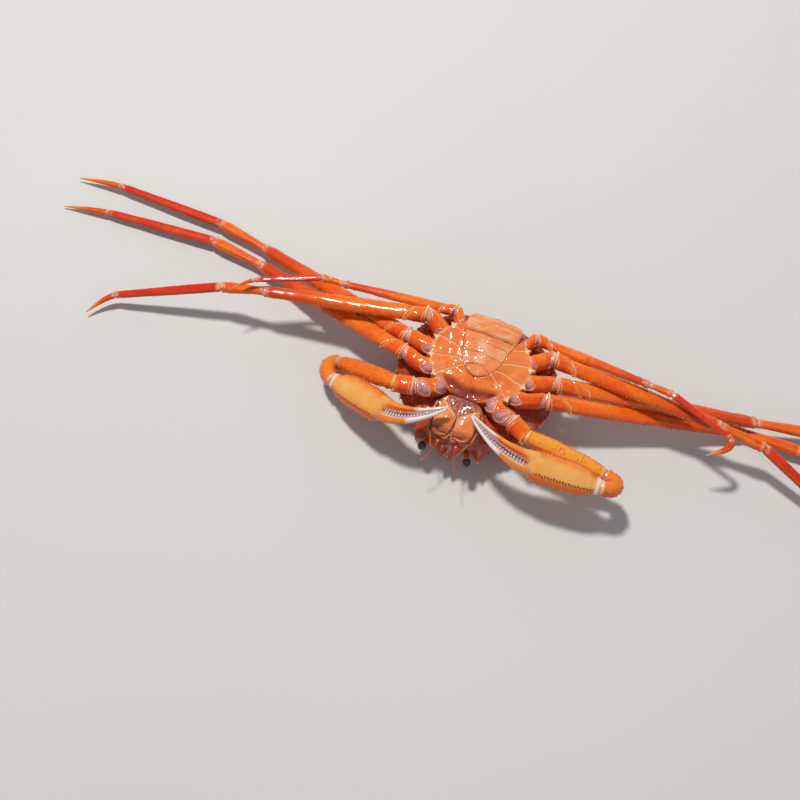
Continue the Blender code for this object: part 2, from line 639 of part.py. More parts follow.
def sternum_outline():
    """The chest plate from above: a straight edge for each limb and a spur between limbs."""
    half = [np.array([0.0, -28.4]), np.array([7.0, -28.4])]
    count = len(LEG_JUNCTIONS) - 1
    for k in range(count):
        a = np.array(LEG_JUNCTIONS[k])
        b = np.array(LEG_JUNCTIONS[k + 1])
        edge = unit(b - a)
        normal = np.array([edge[1], -edge[0]])
        start = a + edge * (JUNCTION_HALF if k else 0.0)
        end = b - edge * (JUNCTION_HALF if k < count - 1 else 0.0)
        half.extend([start, (start + end) / 2, end])
        if k < count - 1:
            following = unit(np.array(LEG_JUNCTIONS[k + 2]) - b)
            next_normal = np.array([following[1], -following[0]])
            half.append(b + unit(normal + next_normal) * JUNCTION_SPURS[k])
    half.extend([np.array([12.0, 32.6]), np.array([0.0, 32.8])])
    return mirrored(half)


def sternum_height(x, y):
    """Height of the chest plate: a low dome with the abdomen's groove, falling to front and rear."""
    groove = np.clip((abdomen_half_width(y) + 3.0 - np.abs(x)) / 2.5, 0, 1)
    rear = np.clip(y - 23.5, 0, None)
    front = np.clip(-14 - y, 0, None)
    return STERNUM_TOP - 1.1 * groove - 0.78 * rear - 0.2 * front


def build_slab(collection, name, outline, centre, bottom, top, rim, colour):
    """A plate with a straight wall and a softly rounded top, both faces given by functions."""
    centre = np.asarray(centre, dtype=float)
    spokes = outline - centre

    def ring(scale, height, drop=0.0):
        flat = centre + spokes * scale
        return np.column_stack([flat, height(flat[:, 0], flat[:, 1]) - drop])

    rings = [ring(1.0, bottom), ring(1.0, top, rim), ring(0.95, top, rim * 0.3)]
    rings.extend(ring(scale, top) for scale in (0.8, 0.6, 0.4, 0.2))
    x = np.array([centre[0]])
    y = np.array([centre[1]])
    low = (*centre, float(bottom(x, y)[0]))
    high = (*centre, float(top(x, y)[0]))
    return make_node(collection, name, loft(rings, low, high), colour)


def build_sternum(collection):
    """The chest plate between the limbs."""
    def bottom(x, y):
        return np.full_like(x, SHELL_HEIGHT + GAP)

    build_slab(collection, "sternum", sternum_outline(), (0, 0), bottom, sternum_height,
               1.8, PEACH)


def build_abdomen(collection):
    """The narrow abdomen folded round the rear edge and forward over the chest plate."""
    stations = np.array(ABDOMEN_STATIONS)
    reach, depth = JOINT_GROOVE
    for joint in ABDOMEN_JOINTS:
        for offset, less in ((reach, 0.0), (0.0, depth), (-reach, 0.0)):
            row = [np.interp(joint + offset, stations[::-1, 0], stations[::-1, k]) for k in range(4)]
            row[3] -= less
            stations = np.vstack([stations, row])
            stations = stations[np.argsort(-stations[:, 0])]
    path = np.column_stack([np.zeros(len(stations)), stations[:, 0], stations[:, 1]])
    slopes = np.gradient(path, axis=0)
    slopes[0] = (0, 0, 1)
    rings = []
    for centre, slope, (_, _, half_width, half_thick) in zip(path, slopes, stations):
        up = np.cross((1, 0, 0), slope)
        rings.append(oval(centre, slope, up, half_width, half_thick, 14, 3.4))
    make_node(collection, "abdomen", loft(rings), PEACH)


def mouth_height(x, y):
    """Height of the mouth field's sloping top."""
    return MOUTH_TOP + (y + 29.0) * MOUTH_SLOPE - 0.004 * x ** 2


def build_mouth(collection):
    """The mouth field in front of the chest plate, and the two plates that close the mouth."""
    def bottom(x, y):
        return np.full_like(x, SHELL_HEIGHT + GAP)

    build_slab(collection, "mouth_field", mirrored(MOUTH_OUTLINE), (0, -44), bottom, mouth_height, 2.2,
               MOUTH_BROWN)
    for side, flip in SIDES.items():
        outline = np.array(MOUTH_PLATE_OUTLINE, dtype=float) * (flip, 1)
        centre = outline.mean(axis=0)

        def low(x, y):
            return mouth_height(x, y) + GAP

        def high(x, y):
            return mouth_height(x, y) + MOUTH_PLATE_THICKNESS

        build_slab(collection, f"mouth_plate_{side}", outline, centre, low, high, 1.2, PEACH)


def build_eyes_and_antennae(collection):
    """The stalked eyes on the carapace's front wall and the short antennae over the mouth field."""
    for side, flip in SIDES.items():
        wall = front_wall(*EYE_PLACE, EYE_SIZES[0][1])
        root = np.array([flip * EYE_PLACE[0], wall - GAP, EYE_PLACE[1]])
        along = unit((flip * 0.35, -0.9, -0.1))
        rings = [oval(root, (0, -1, 0), (0, 0, 1), EYE_SIZES[0][1], EYE_SIZES[0][1], 10, 2.0)]
        rings += [oval(root + along * place, along, (0, 0, 1), size, size, 10, 2.0)
                  for place, size in EYE_SIZES[1:]]
        make_node(collection, f"eye_{side}", loft(rings), BLACK, 0.1)
        root = np.array([flip * ANTENNA_ROOT[0], ANTENNA_ROOT[1] - GAP, ANTENNA_ROOT[2]])
        tip = np.array([flip * ANTENNA_TIP[0], *ANTENNA_TIP[1:]])
        places = [row[0] for row in ANTENNA_SIZES]
        points, slopes = curve_points(root, (0, -8, 0), tip, (flip * 4, -6, -2), places)
        rings = [oval(point, (0, -1, 0) if place == 0 else slope, (0, 0, 1), size, size, 8, 2.0)
                 for point, slope, (place, size) in zip(points, slopes, ANTENNA_SIZES)]
        make_node(collection, f"antenna_{side}", loft(rings), RED)


def main():
    """Build every node of the crab."""
    clear_scene()
    collection = bpy.data.collections.new("red_snow_crab")
    bpy.context.scene.collection.children.link(collection)
    build_carapace(collection)
    build_sternum(collection)
    build_abdomen(collection)
    build_mouth(collection)
    build_eyes_and_antennae(collection)
    for side in SIDES:
        build_claw(collection, side)
        for leg in LEG_LENGTHS:
            build_leg(collection, side, leg)


main()
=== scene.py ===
"""Presentation model of the red snow crab, lying on its back in the row's frame.

Every solid of the crab is stood in for by a finer surface with the same name and place, and joint
skins and small mouth parts are added. Tables and surfaces are in millimetres and become metres once,
where a mesh is made. +Z is up and shows the underside of the animal, its mouth faces -Y and its left
side is -X.
"""

import logging
import math
from dataclasses import dataclass, field
from enum import Enum

import bpy
import numpy as np
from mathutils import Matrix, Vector


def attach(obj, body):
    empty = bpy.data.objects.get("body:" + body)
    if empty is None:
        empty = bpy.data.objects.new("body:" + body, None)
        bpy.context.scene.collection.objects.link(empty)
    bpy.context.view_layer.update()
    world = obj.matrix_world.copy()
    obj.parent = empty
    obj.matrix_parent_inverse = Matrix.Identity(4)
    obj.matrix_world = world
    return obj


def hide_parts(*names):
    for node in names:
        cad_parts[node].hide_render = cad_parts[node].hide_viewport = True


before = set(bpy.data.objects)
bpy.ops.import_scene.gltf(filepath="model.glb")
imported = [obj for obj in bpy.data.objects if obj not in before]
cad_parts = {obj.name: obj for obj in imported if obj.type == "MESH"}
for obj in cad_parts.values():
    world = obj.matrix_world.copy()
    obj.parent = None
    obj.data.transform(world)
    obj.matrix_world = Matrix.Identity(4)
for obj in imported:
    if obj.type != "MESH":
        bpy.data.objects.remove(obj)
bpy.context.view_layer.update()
LOG = logging.getLogger("red_snow_crab")

Array = np.ndarray
Colour = tuple[float, float, float]
Socket = bpy.types.NodeSocket
MM = 0.001
GAP = 0.3
UP = np.array([0.0, 0.0, 1.0])
ACROSS = np.array([1.0, 0.0, 0.0])
SIDES = {"left": -1, "right": 1}
MARKS = ("pale", "mauve", "dark", "grain", "tip", "lower", "spot", "yellow")
WALL = slice(2, 9)
RELIEF_FADE = 0.8
SLANT_REACH = 12.0
SPINE_SIDES = 7

# Sizes of the body, as in the solids.
SHELL_HEIGHT = 31.2
SHELL_DOME = 3.0
SHELL_CENTRE = np.array([0.0, 2.0])
SHELL_FRONT = ((0, -63.0), (3.2, -69.5), (6.2, -63.5), (11.0, -60.6), (18.5, -59.4), (23.5, -62.5))
SHELL_FLANK = ((27.0, -55), (34, -48), (45, -38), (53, -25), (58, -10), (59, 4), (54.5, 18), (45, 30),
               (31, 38.5), (15, 42.3), (0, 43.5))
RIM_SPINES = ((0, 46, 1.9, 0.95, 0.0), (-9, 40, 1.2, 0.8, -0.6), (-20, 30, 0.9, 0.7, -0.9),
              (9, 38, 1.3, 0.8, 0.5), (17, 30, 0.9, 0.7, 0.8))
MARGIN_HEIGHTS = ((-70, 20.0), (-45, 22.5), (0, 26.0), (30, 28.5), (44, 30.5))
SWELLINGS = ((0, 3, 10, 5.4), (0, -30, 12, 5.0), (-31, 6, 14, 5.2), (31, 6, 14, 5.2))
SHELL_GROOVES = (((4, -16), (14, -20), (24, -30), (34, -40)),
                 ((12, -14), (13.5, 0), (12, 14), (7, 25), (0, 30)),
                 ((14, -20), (30, -15), (46, -15)), ((20, 24), (33, 22), (46, 14)))
LEG_JUNCTIONS = ((12.0, -28.0), (28.4, -20.3), (36.0, -6.8), (37.0, 8.1), (29.0, 21.8), (21.0, 32.0))
JUNCTION_SPURS = (1.4, 2.2, 2.6, 2.4)
JUNCTION_HALF = 1.2
STERNUM_TOP = 45.4
LEG_ROOT_HEIGHT = 39.5
ABDOMEN_STATIONS = ((37.8, 32.1, 18.6, 3.3), (37.4, 36.6, 19.4, 3.3), (35.6, 41.0, 20.0, 2.9),
                    (31.4, 44.6, 20.3, 2.0), (26.5, 46.4, 20.3, 1.5), (18.5, 46.5, 18.3, 1.3),
                    (9.0, 46.5, 15.8, 1.3), (5.0, 46.5, 15.2, 1.3), (-1.5, 46.5, 13.0, 1.3),
                    (-7.6, 46.5, 8.8, 1.3), (-10.2, 46.5, 6.0, 1.2), (-12.2, 46.4, 2.4, 1.0))
MOUTH_TOP = 40.5
MOUTH_SLOPE = 0.14
MOUTH_OUTLINE = ((0, -28.5), (9, -28.7), (15, -32.6), (18.5, -40.0), (19.0, -50.0), (15.0, -58.0), (0, -59.0))
MOUTH_PLATE_OUTLINE = ((0.4, -45.5), (7.0, -40.0), (13.5, -34.8), (15.6, -41.0), (14.0, -56.4), (7.5, -57.6),
                       (1.6, -57.4), (0.6, -51.0))
MOUTH_PLATE_THICKNESS = 4.4
PALPS = ((((16.9, -38.0, 41.0), (17.8, -46.0, 40.0), (16.2, -56.0, 38.4)), (1.3, 1.1, 0.7)),
         (((13.4, -56.6, 39.6), (9.0, -59.6, 38.6), (3.2, -58.8, 38.8)), (1.5, 1.3, 0.7)),
         (((6.0, -59.4, 37.0), (2.8, -60.6, 36.6), (0.7, -57.6, 38.0)), (1.1, 1.0, 0.6)),
         (((15.4, -57.6, 37.4), (12.4, -63.6, 36.2), (9.8, -68.8, 34.2)), (0.7, 0.6, 0.4)))
EYE_PLACE = (14.5, 24.0)
EYE_SIZES = ((0.0, 1.8), (3.6, 1.8), (5.0, 2.5), (6.8, 3.1), (8.6, 2.6), (9.8, 1.2))
ANTENNA_ROOT = (6.5, -58.57, 33.6)
ANTENNA_TIP = (13.0, -80.0, 30.0)
ANTENNA_SIZES = ((0.0, 1.5), (0.18, 1.5), (0.36, 0.9), (0.7, 0.6), (1.0, 0.3))

# Seams of the chest plate, right half, from the limbs inward.
SUTURES = (((29.0, 21.8), (24.5, 19.8), (20.1, 17.6), (15.4, 15.2)),
           ((37.0, 8.1), (33.5, 9.3), (30.2, 8.9), (25.0, 7.9), (20.2, 6.4), (14.6, 3.6)),
           ((36.0, -6.8), (34.2, -5.6), (31.8, -5.5), (28.3, -5.1), (23.2, -3.3), (17.0, -2.2), (12.6, -3.2)),
           ((28.4, -20.3), (26.7, -19.7), (24.6, -17.6), (20.4, -14.0), (15.4, -9.8), (12.0, -7.2),
            (9.4, -6.6)))
FRONT_LIP = ((-26, -18.6), (-20.5, -17.2), (-14.0, -17.6), (-7.0, -19.4), (0.0, -20.2), (7.0, -19.4),
             (14.0, -17.6), (20.5, -17.2), (26, -18.6))
ABDOMEN_SEAMS = ((46.6, 0.3, 0.9, 0.8), (40.6, 0.4, 0.9, 0.8), (34.0, 0.5, 0.5, 0.5), (28.4, 0.8, 0.6, 0.6),
                 (21.2, 0.6, 1.0, 0.9), (15.2, 1.6, 0.8, 0.25), (6.2, 2.2, 0.7, 0.25), (-3.6, 3.2, 0.5, 0.2))
ABDOMEN_KNOBS = ((0.0, 43.4, 1.5), (-10.5, 43.6, 1.1), (10.5, 43.4, 1.1), (0.4, 37.4, 1.2),
                 (-11.5, 37.2, 1.0), (11.0, 37.0, 1.0), (1.0, 31.0, 1.3), (-0.3, 18.2, 1.2), (0.3, 8.6, 1.2),
                 (2.0, 4.2, 1.6), (-4.0, 27.6, 1.0), (5.0, 28.0, 1.0), (0.6, -2.2, 1.3), (-15.6, 17.0, 1.0),
                 (-10.5, 24.6, 1.1), (11.5, 24.6, 1.1))

# Sizes of the limbs, as in the solids.
LEG_LENGTHS = {1: (22.0, 149.0, 45.0, 92.0, 39.0), 2: (20.5, 150.0, 44.0, 92.0, 38.0),
               3: (18.0, 126.0, 34.0, 87.0, 26.0), 4: (11.0, 86.0, 17.0, 50.0, 20.0)}
LEG_WIDTHS = {1: 12.2, 2: 12.0, 3: 11.8, 4: 7.6}
BASE_WIDTHS = {1: 12.9, 2: 12.8, 3: 12.6, 4: 9.4}
ISCHIUM_LENGTHS = {1: 14.0, 2: 14.0, 3: 13.0, 4: 9.0}
ROOT_SKINS = {1: 6.8, 2: 6.0, 3: 3.6, 4: 2.2}
MERUS_SLANT = 0.75
PLEAT = 0.9
LEG_POSE = {
    ("left", 1): ((12, -8), (16.4, -11.1), (7.4, -1.0), (-4.6, -1.2), (-10.3, -4.0)),
    ("left", 2): ((10.5, -8), (17.0, -11.2), (10.0, -0.5), (1.0, -0.6), (-7.0, -3.4)),
    ("left", 3): ((27.5, 7), (-11.2, -3.4), (-10.7, -10.0), (-20.4, -11.8), (-50.0, -13.0)),
    ("left", 4): ((52.0, 0), (-8.0, 1.6), (-6.2, 3.0), (-24.4, -1.0), (-44.0, -5.6)),
    ("right", 1): ((18.6, -9.0), (18.1, -10.9), (2.0, 0.0), (-10.0, -1.0), (-18.0, -4.5)),
    ("right", 2): ((21.6, -6.5), (14.8, -8.4), (13.0, -4.0), (4.0, -3.4), (-6.0, -6.0)),
    ("right", 3): ((33.0, 2.0), (-0.5, -2.8), (-1.0, -11.0), (-20.5, -12.5), (-34.0, -10.0)),
    ("right", 4): ((55.0, 2.0), (-3.8, 2.6), (-3.0, 1.5), (-18.5, -3.0), (-128.0, -25.0)),
}
CURLED_TIPS = {("right", 4): 30.0}
CLAW_POSE = {"left": ((18.5, -28.0, 0.0), (13.5, -9.0, -3.0), (57.0, 12.0, -27.0)),
             "right": ((17.7, -26.7, 0.0), (14.6, -24.1, 0.0), (60.0, -2.7, -9.0))}
HAND_POSE = {"left": ((-96.4, -43.0, 20.5), -163.5, 19.0), "right": ((108.7, -53.8, 38.0), -176.0, 4.5)}
CLAW_WIDTH = 13.2
CLAW_BASE_WIDTH = 14.2
PALM_LENGTH = 49.0
PALM_WIDTH = 23.0
PALM_THICKNESS = 12.0
PALM_ROLL = 18.0
FINGER_TIPS = {"left": (42.5, -22.5, -5.0), "right": (49.0, -18.0, -1.0)}
CARPUS_HANDLE = 12.5
COXA_PROFILE = ((0.0, 0.93, 0.94), (0.22, 0.99, 1.0), (0.6, 1.0, 1.0), (0.86, 0.93, 0.93), (1.0, 0.83, 0.83))
ISCHIUM_PROFILE = ((0.18, 0.93, 0.86), (0.6, 0.95, 0.76), (1.0, 0.90, 0.62))
PROFILES = {
    "merus": ((0.0, 0.94, 0.62), (0.08, 0.99, 0.63), (0.3, 1.0, 0.62), (0.6, 0.9, 0.58), (0.87, 0.74, 0.52),
              (0.95, 0.78, 0.56), (1.0, 0.62, 0.48)),
    "carpus": ((0.0, 0.56, 0.44), (0.12, 0.54, 0.44), (0.5, 0.64, 0.50), (0.86, 0.74, 0.55),
               (1.0, 0.58, 0.45)),
    "propodus": ((0.0, 0.54, 0.42), (0.07, 0.64, 0.48), (0.4, 0.62, 0.45), (0.8, 0.50, 0.40),
                 (0.95, 0.48, 0.38),
                 (1.0, 0.38, 0.31)),
    "dactyl": ((0.0, 0.36, 0.30), (0.1, 0.42, 0.34), (0.4, 0.34, 0.27), (0.75, 0.2, 0.17),
               (1.0, 0.065, 0.06)),
    "claw_merus": ((0.0, 0.74, 0.66), (0.12, 0.86, 0.72), (0.38, 1.0, 0.76), (0.65, 0.98, 0.74),
                   (0.9, 0.82, 0.68), (1.0, 0.60, 0.54)),
}
CLAW_MERUS_ROWS = ((0.0, 1.3), (0.35, 0.9), (-0.35, 1.0), (math.pi, 1.3), (2.75, 0.9), (-2.75, 1.0),
                   (-1.6, 0.7))
PALM_ROWS = ((0.0, 17, 0.08, 0.95, 1.35, 0.95), (0.26, 14, 0.12, 0.93, 0.7, 0.6),
             (-0.3, 16, 0.1, 0.95, 0.9, 0.7), (math.pi, 19, 0.1, 0.95, 0.9, 0.65),
             (-2.8, 14, 0.1, 0.95, 0.7, 0.6))
DOT_RIDGES = {"left": 0.80, "right": 1.05}
# Painted shade on each palm's flank below its dotted ridge, deeper on the left.
PALM_FLANK_SHADE = {"left": 0.75, "right": 0.42}
# Yellow and red of each claw's merus; on the left, the weaker yellow and the red far half are painted shadow.
CLAW_MERUS_GOLD_AND_SHADE = {"left": (0.22, 0.34), "right": (0.85, 0.0)}
FINGER_BENDS = {-1: ((0.3, -4.4, 0.0), (24.0, -4.6, 1.5)), 1: ((0.6, 5.0, 0.0), (25.0, 4.2, 1.5))}
FINGER_STEM = ((-13.0, -1.4, 7.6, 5.0), (-8.0, -1.9, 7.6, 5.0), (-3.0, -2.7, 6.9, 4.8), (1.5, -3.6, 5.7, 4.4))
FINGER_BEADS = 22
FINGER_TEETH = 19
CARPUS_SIZES = ((0.0, 4.0, 3.6), (0.16, 5.0, 5.0), (0.38, 5.8, 6.0), (0.62, 6.0, 6.2), (0.84, 5.6, 5.4),
                (1.0, 4.8, 4.4))
PALM_SIZES = ((0.0, 0.23, 0.33, 0.0), (0.07, 0.28, 0.40, 0.0), (0.2, 0.40, 0.47, 0.0),
              (0.45, 0.49, 0.50, 0.0), (0.75, 0.49, 0.48, 0.3), (0.94, 0.45, 0.43, 0.6),
              (1.0, 0.42, 0.39, 0.7))
FINGER_SIZES = ((0.0, 4.3, 4.0), (0.2, 3.9, 3.8), (0.45, 2.8, 3.2), (0.7, 1.9, 2.4), (0.88, 1.1, 1.6),
                (1.0, 0.45, 0.6))


class End(Enum):
    """How a tube closes: shares of its last ring's size, with how far each closing ring stands out in mm."""

    HEAD = ((0.96, 0.86, 0.66, 0.36), (0.35, 1.0, 1.6, 1.9))
    SOCKET = ((0.99, 0.94, 0.86, 0.6, 0.25), (0.2, 0.05, -1.2, -1.9, -2.1))
    ROUND = ((0.97, 0.88, 0.7, 0.4), (0.5, 1.3, 2.1, 2.7))
    POINT = ((0.8, 0.45), (0.3, 0.5))


class Light(Enum):
    """The studio's lamps: place in metres, width in metres, power in watts and colour."""

    KEY = ((-0.80, 0.62, 2.30), 0.26, 48.0, (1.0, 0.97, 0.92))
    FILL = ((0.9, -0.9, 1.0), 1.1, 2.0, (0.95, 0.97, 1.0))
    REAR = ((0.3, 1.3, 0.8), 0.9, 1.9, (1.0, 0.98, 0.95))


# Numbers and curves.
def unit(vector: Array) -> Array:
    """The vectors at length one, along the last axis."""
    vector = np.asarray(vector, dtype=float)
    return vector / np.maximum(np.linalg.norm(vector, axis=-1, keepdims=True), 1e-9)


def bump(distance: Array, width: float) -> Array:
    """A rounded hump, the exponential of minus the squared distance over the width."""
    return np.exp(-((distance / width) ** 2))


def most(*amounts: Array) -> Array:
    """The greatest of several amounts at each place."""
    return np.maximum.reduce(np.broadcast_arrays(*amounts))


def ramp(low: float, high: float, value: Array) -> Array:
    """A smooth step that is 0 at low and 1 at high, by 3t^2 - 2t^3."""
    t = np.clip((value - low) / (high - low), 0, 1)
    return t * t * (3 - 2 * t)


def turned_from(angle: Array, middle: float) -> Array:
    """How far each angle lies from a middle angle, from minus pi to pi."""
    return np.angle(np.exp(1j * (angle - middle)))


def through(places: Array, values: Array, at: Array) -> Array:
    """Cubic Hermite rows through given rows, with slopes that never overshoot.

    Args:
        places: rising numbers at which the rows are given.
        values: one row of numbers for each place.
        at: the numbers at which new rows are wanted.

    Returns:
        One row for each number in at.
    """
    places = np.asarray(places, dtype=float)
    values = np.asarray(values, dtype=float).reshape(len(places), -1)
    step = np.diff(places)[:, None]
    slope = np.diff(values, axis=0) / step
    tangent = np.zeros_like(values)
    tangent[0], tangent[-1] = slope[0], slope[-1]
    rising = slope[:-1] * slope[1:] > 0
    first, second = 2 * step[1:] + step[:-1], step[1:] + 2 * step[:-1]
    safe_low, safe_high = np.where(rising, slope[:-1], 1.0), np.where(rising, slope[1:], 1.0)
    tangent[1:-1] = np.where(rising, (first + second) / (first / safe_low + second / safe_high), 0.0)
    k = np.clip(np.searchsorted(places, at, side="right") - 1, 0, len(places) - 2)
    h = step[k]
    t = ((at - places[k]) / h[:, 0])[:, None]
    return ((1 + 2 * t) * (1 - t) ** 2 * values[k] + t * (1 - t) ** 2 * h * tangent[k]
            + t ** 2 * (3 - 2 * t) * values[k + 1] + t ** 2 * (t - 1) * h * tangent[k + 1])


def hashed(cell: Array, seed: int) -> Array:
    """A number from 0 to 1 for each whole-number cell, always the same for the same cell.

    Args:
        cell: whole numbers, three to a cell.
        seed: picks one of many such patterns.

    Returns:
        One number for each cell.
    """
    mixed = cell[..., 0] * 374761393 + cell[..., 1] * 668265263 + cell[..., 2] * 1442695041 + seed * 97531
    mixed = (mixed ^ (mixed >> 13)) * 1274126177
    return ((mixed ^ (mixed >> 16)) & 0xFFFFF) / 0xFFFFF


def noise(points: Array, size: float, seed: int) -> Array:
    """Soft noise: values on a lattice, blended between by 3t^2 - 2t^3 along each axis.

    Args:
        points: places in millimetres.
        size: spacing of the lattice.
        seed: picks the pattern.

    Returns:
        A number from -1 to 1 for each point.
    """
    scaled = points / size
    base = np.floor(scaled).astype(np.int64)
    part = scaled - base
    part = part * part * (3 - 2 * part)
    total = np.zeros(points.shape[:-1])
    for corner in np.ndindex(2, 2, 2):
        weight = np.prod(np.where(np.array(corner) == 1, part, 1 - part), axis=-1)
        total += weight * hashed(base + np.array(corner), seed)
    return total * 2 - 1


def grains(points: Array, spacing: float, seed: int, fill: float = 0.42) -> Array:
    """Rounded grains: half spheres round one scattered point in each cell of a lattice.

    Args:
        points: places in millimetres.
        spacing: spacing of the lattice.
        seed: picks the pattern.
        fill: radius of the largest grain as a share of the spacing.

    Returns:
        A height from 0 to 1 for each point.
    """
    scaled = points / spacing
    base = np.floor(scaled - 0.5).astype(np.int64)
    height = np.zeros(points.shape[:-1])
    for corner in np.ndindex(2, 2, 2):
        cell = base + np.array(corner)
        spot = cell + 0.5 + 0.42 * (np.stack([hashed(cell, seed + k) for k in range(3)], axis=-1) - 0.5)
        radius = fill * (0.55 + 0.45 * hashed(cell, seed + 3))
        away = np.sum((scaled - spot) ** 2, axis=-1) / radius ** 2
        height = np.maximum(height, np.sqrt(np.clip(1 - away, 0, 1)))
    return height


def line_distance(x: Array, y: Array, line: tuple) -> Array:
    """Distance in the plane from each point to a line of straight pieces.

    Args:
        x: places across.
        y: places along.
        line: the line's corners.

    Returns:
        The distance to the nearest piece.
    """
    best = np.full(np.broadcast(x, y).shape, 1e9)
    for (ax, ay), (bx, by) in zip(line[:-1], line[1:]):
        dx, dy = bx - ax, by - ay
        t = np.clip(((x - ax) * dx + (y - ay) * dy) / (dx * dx + dy * dy), 0, 1)
        best = np.minimum(best, np.hypot(x - ax - t * dx, y - ay - t * dy))
    return best


def outward(side: str, turn: float, lift: float) -> Array:
    """The direction that leaves the body on one side, turned to the rear and lifted, in degrees."""
    a, b = math.radians(turn), math.radians(lift)
    return np.array([SIDES[side] * math.cos(a) * math.cos(b), math.sin(a) * math.cos(b), math.sin(b)])


def curve(start: Array, first: Array, end: Array, last: Array, t: Array) -> tuple[Array, Array]:
    """A cubic Bezier curve whose handles are given as vectors from its ends.

    Args:
        start: first point.
        first: handle that leaves it.
        end: last point.
        last: handle that arrives there.
        t: places along the curve, from 0 to 1.

    Returns:
        The points and the slopes.
    """
    t = np.asarray(t, dtype=float)[:, None]
    a, d = np.asarray(start, dtype=float), np.asarray(end, dtype=float)
    b, c = a + first, d - last
    points = a * (1 - t) ** 3 + 3 * b * t * (1 - t) ** 2 + 3 * c * t ** 2 * (1 - t) + d * t ** 3
    slopes = 3 * (b - a) * (1 - t) ** 2 + 6 * (c - b) * t * (1 - t) + 3 * (d - c) * t ** 2
    return points, slopes


def bent(start: Array, first: Array, end: Array, last: Array, t: Array, size: Array) -> Array:
    """Control rings along a Bezier curve.

    Args:
        start: first point.
        first: handle that leaves it.
        end: last point.
        last: handle that arrives there.
        t: places along the curve, from 0 to 1.
        size: half width and half thickness at each place.

    Returns:
        Rows of centre, direction, half width and half thickness.
    """
    points, slopes = curve(start, first, end, last, t)
    return np.column_stack([points, unit(slopes), size])


def at_zero(x: Array, y: Array) -> Array:
    """The places as points at height zero."""
    return np.dstack([x, y, np.zeros_like(x)])


def mirrored(half: tuple) -> Array:
    """A closed outline from its right half, which runs from the front middle to the rear middle."""
    half = np.asarray(half, dtype=float)
    return np.vstack([half, half[::-1][1:-1] * (-1, 1)])


def closed_outline(corners: Array, count: int, soft: bool) -> Array:
    """Evenly spaced points round a closed outline.

    Args:
        corners: the outline's corners.
        count: how many points are wanted.
        soft: True for cubic curves through the corners, False for straight edges.

    Returns:
        The points, with the first corner as the first of them.
    """
    looped = np.vstack([corners[-2:], corners, corners[:3]])
    steps = np.linalg.norm(np.diff(looped, axis=0), axis=1)
    place = np.concatenate([[0.0], np.cumsum(steps)])
    start, stop = place[2], place[2 + len(corners)]
    at = start + (stop - start) * np.arange(count) / count
    if soft:
        return through(place, looped, at)
    return np.column_stack([np.interp(at, place, looped[:, k]) for k in range(2)])


# Surfaces.
@dataclass
class Surface:
    """A closed tube of points with the measures that its relief and marks are worked out from."""

    points: Array
    out: Array
    ahead: Array
    low: Array
    high: Array
    angle: Array
    hold: Array
    lift: Array = field(init=False)
    marks: dict[str, Array] = field(init=False)

    def __post_init__(self) -> None:
        """Start with no relief and no marks."""
        self.lift = np.zeros(self.points.shape[:2])
        self.marks = {}

    @property
    def share(self) -> Array:
        """How far along the tube each row is, from 0 to 1."""
        return self.low / (self.low + self.high)

    @property
    def upper(self) -> Array:
        """How far each column faces up, from -1 to 1."""
        return np.sin(self.angle)

    @property
    def front(self) -> Array:
        """How far each column faces the front edge, from -1 to 1."""
        return np.cos(self.angle)

    def relief(self, amount: Array) -> None:
        """Raise the surface by so many millimetres, less on the closing rings."""
        self.lift = self.lift + amount * self.hold

    def mark(self, name: str, amount: Array) -> None:
        """Set a mark to at least this amount, from 0 to 1."""
        amount = np.clip(amount, 0, 1) * np.ones(self.lift.shape)
        self.marks[name] = np.maximum(self.marks.get(name, 0.0), amount)

    def final(self) -> Array:
        """The points with their relief."""
        return self.points + self.out * self.lift[..., None]


def superellipse(angle: Array, power: float) -> Array:
    """Distance from the middle of |x|^p + |y|^p = 1 at each angle."""
    return (np.abs(np.cos(angle)) ** power + np.abs(np.sin(angle)) ** power) ** (-1 / power)


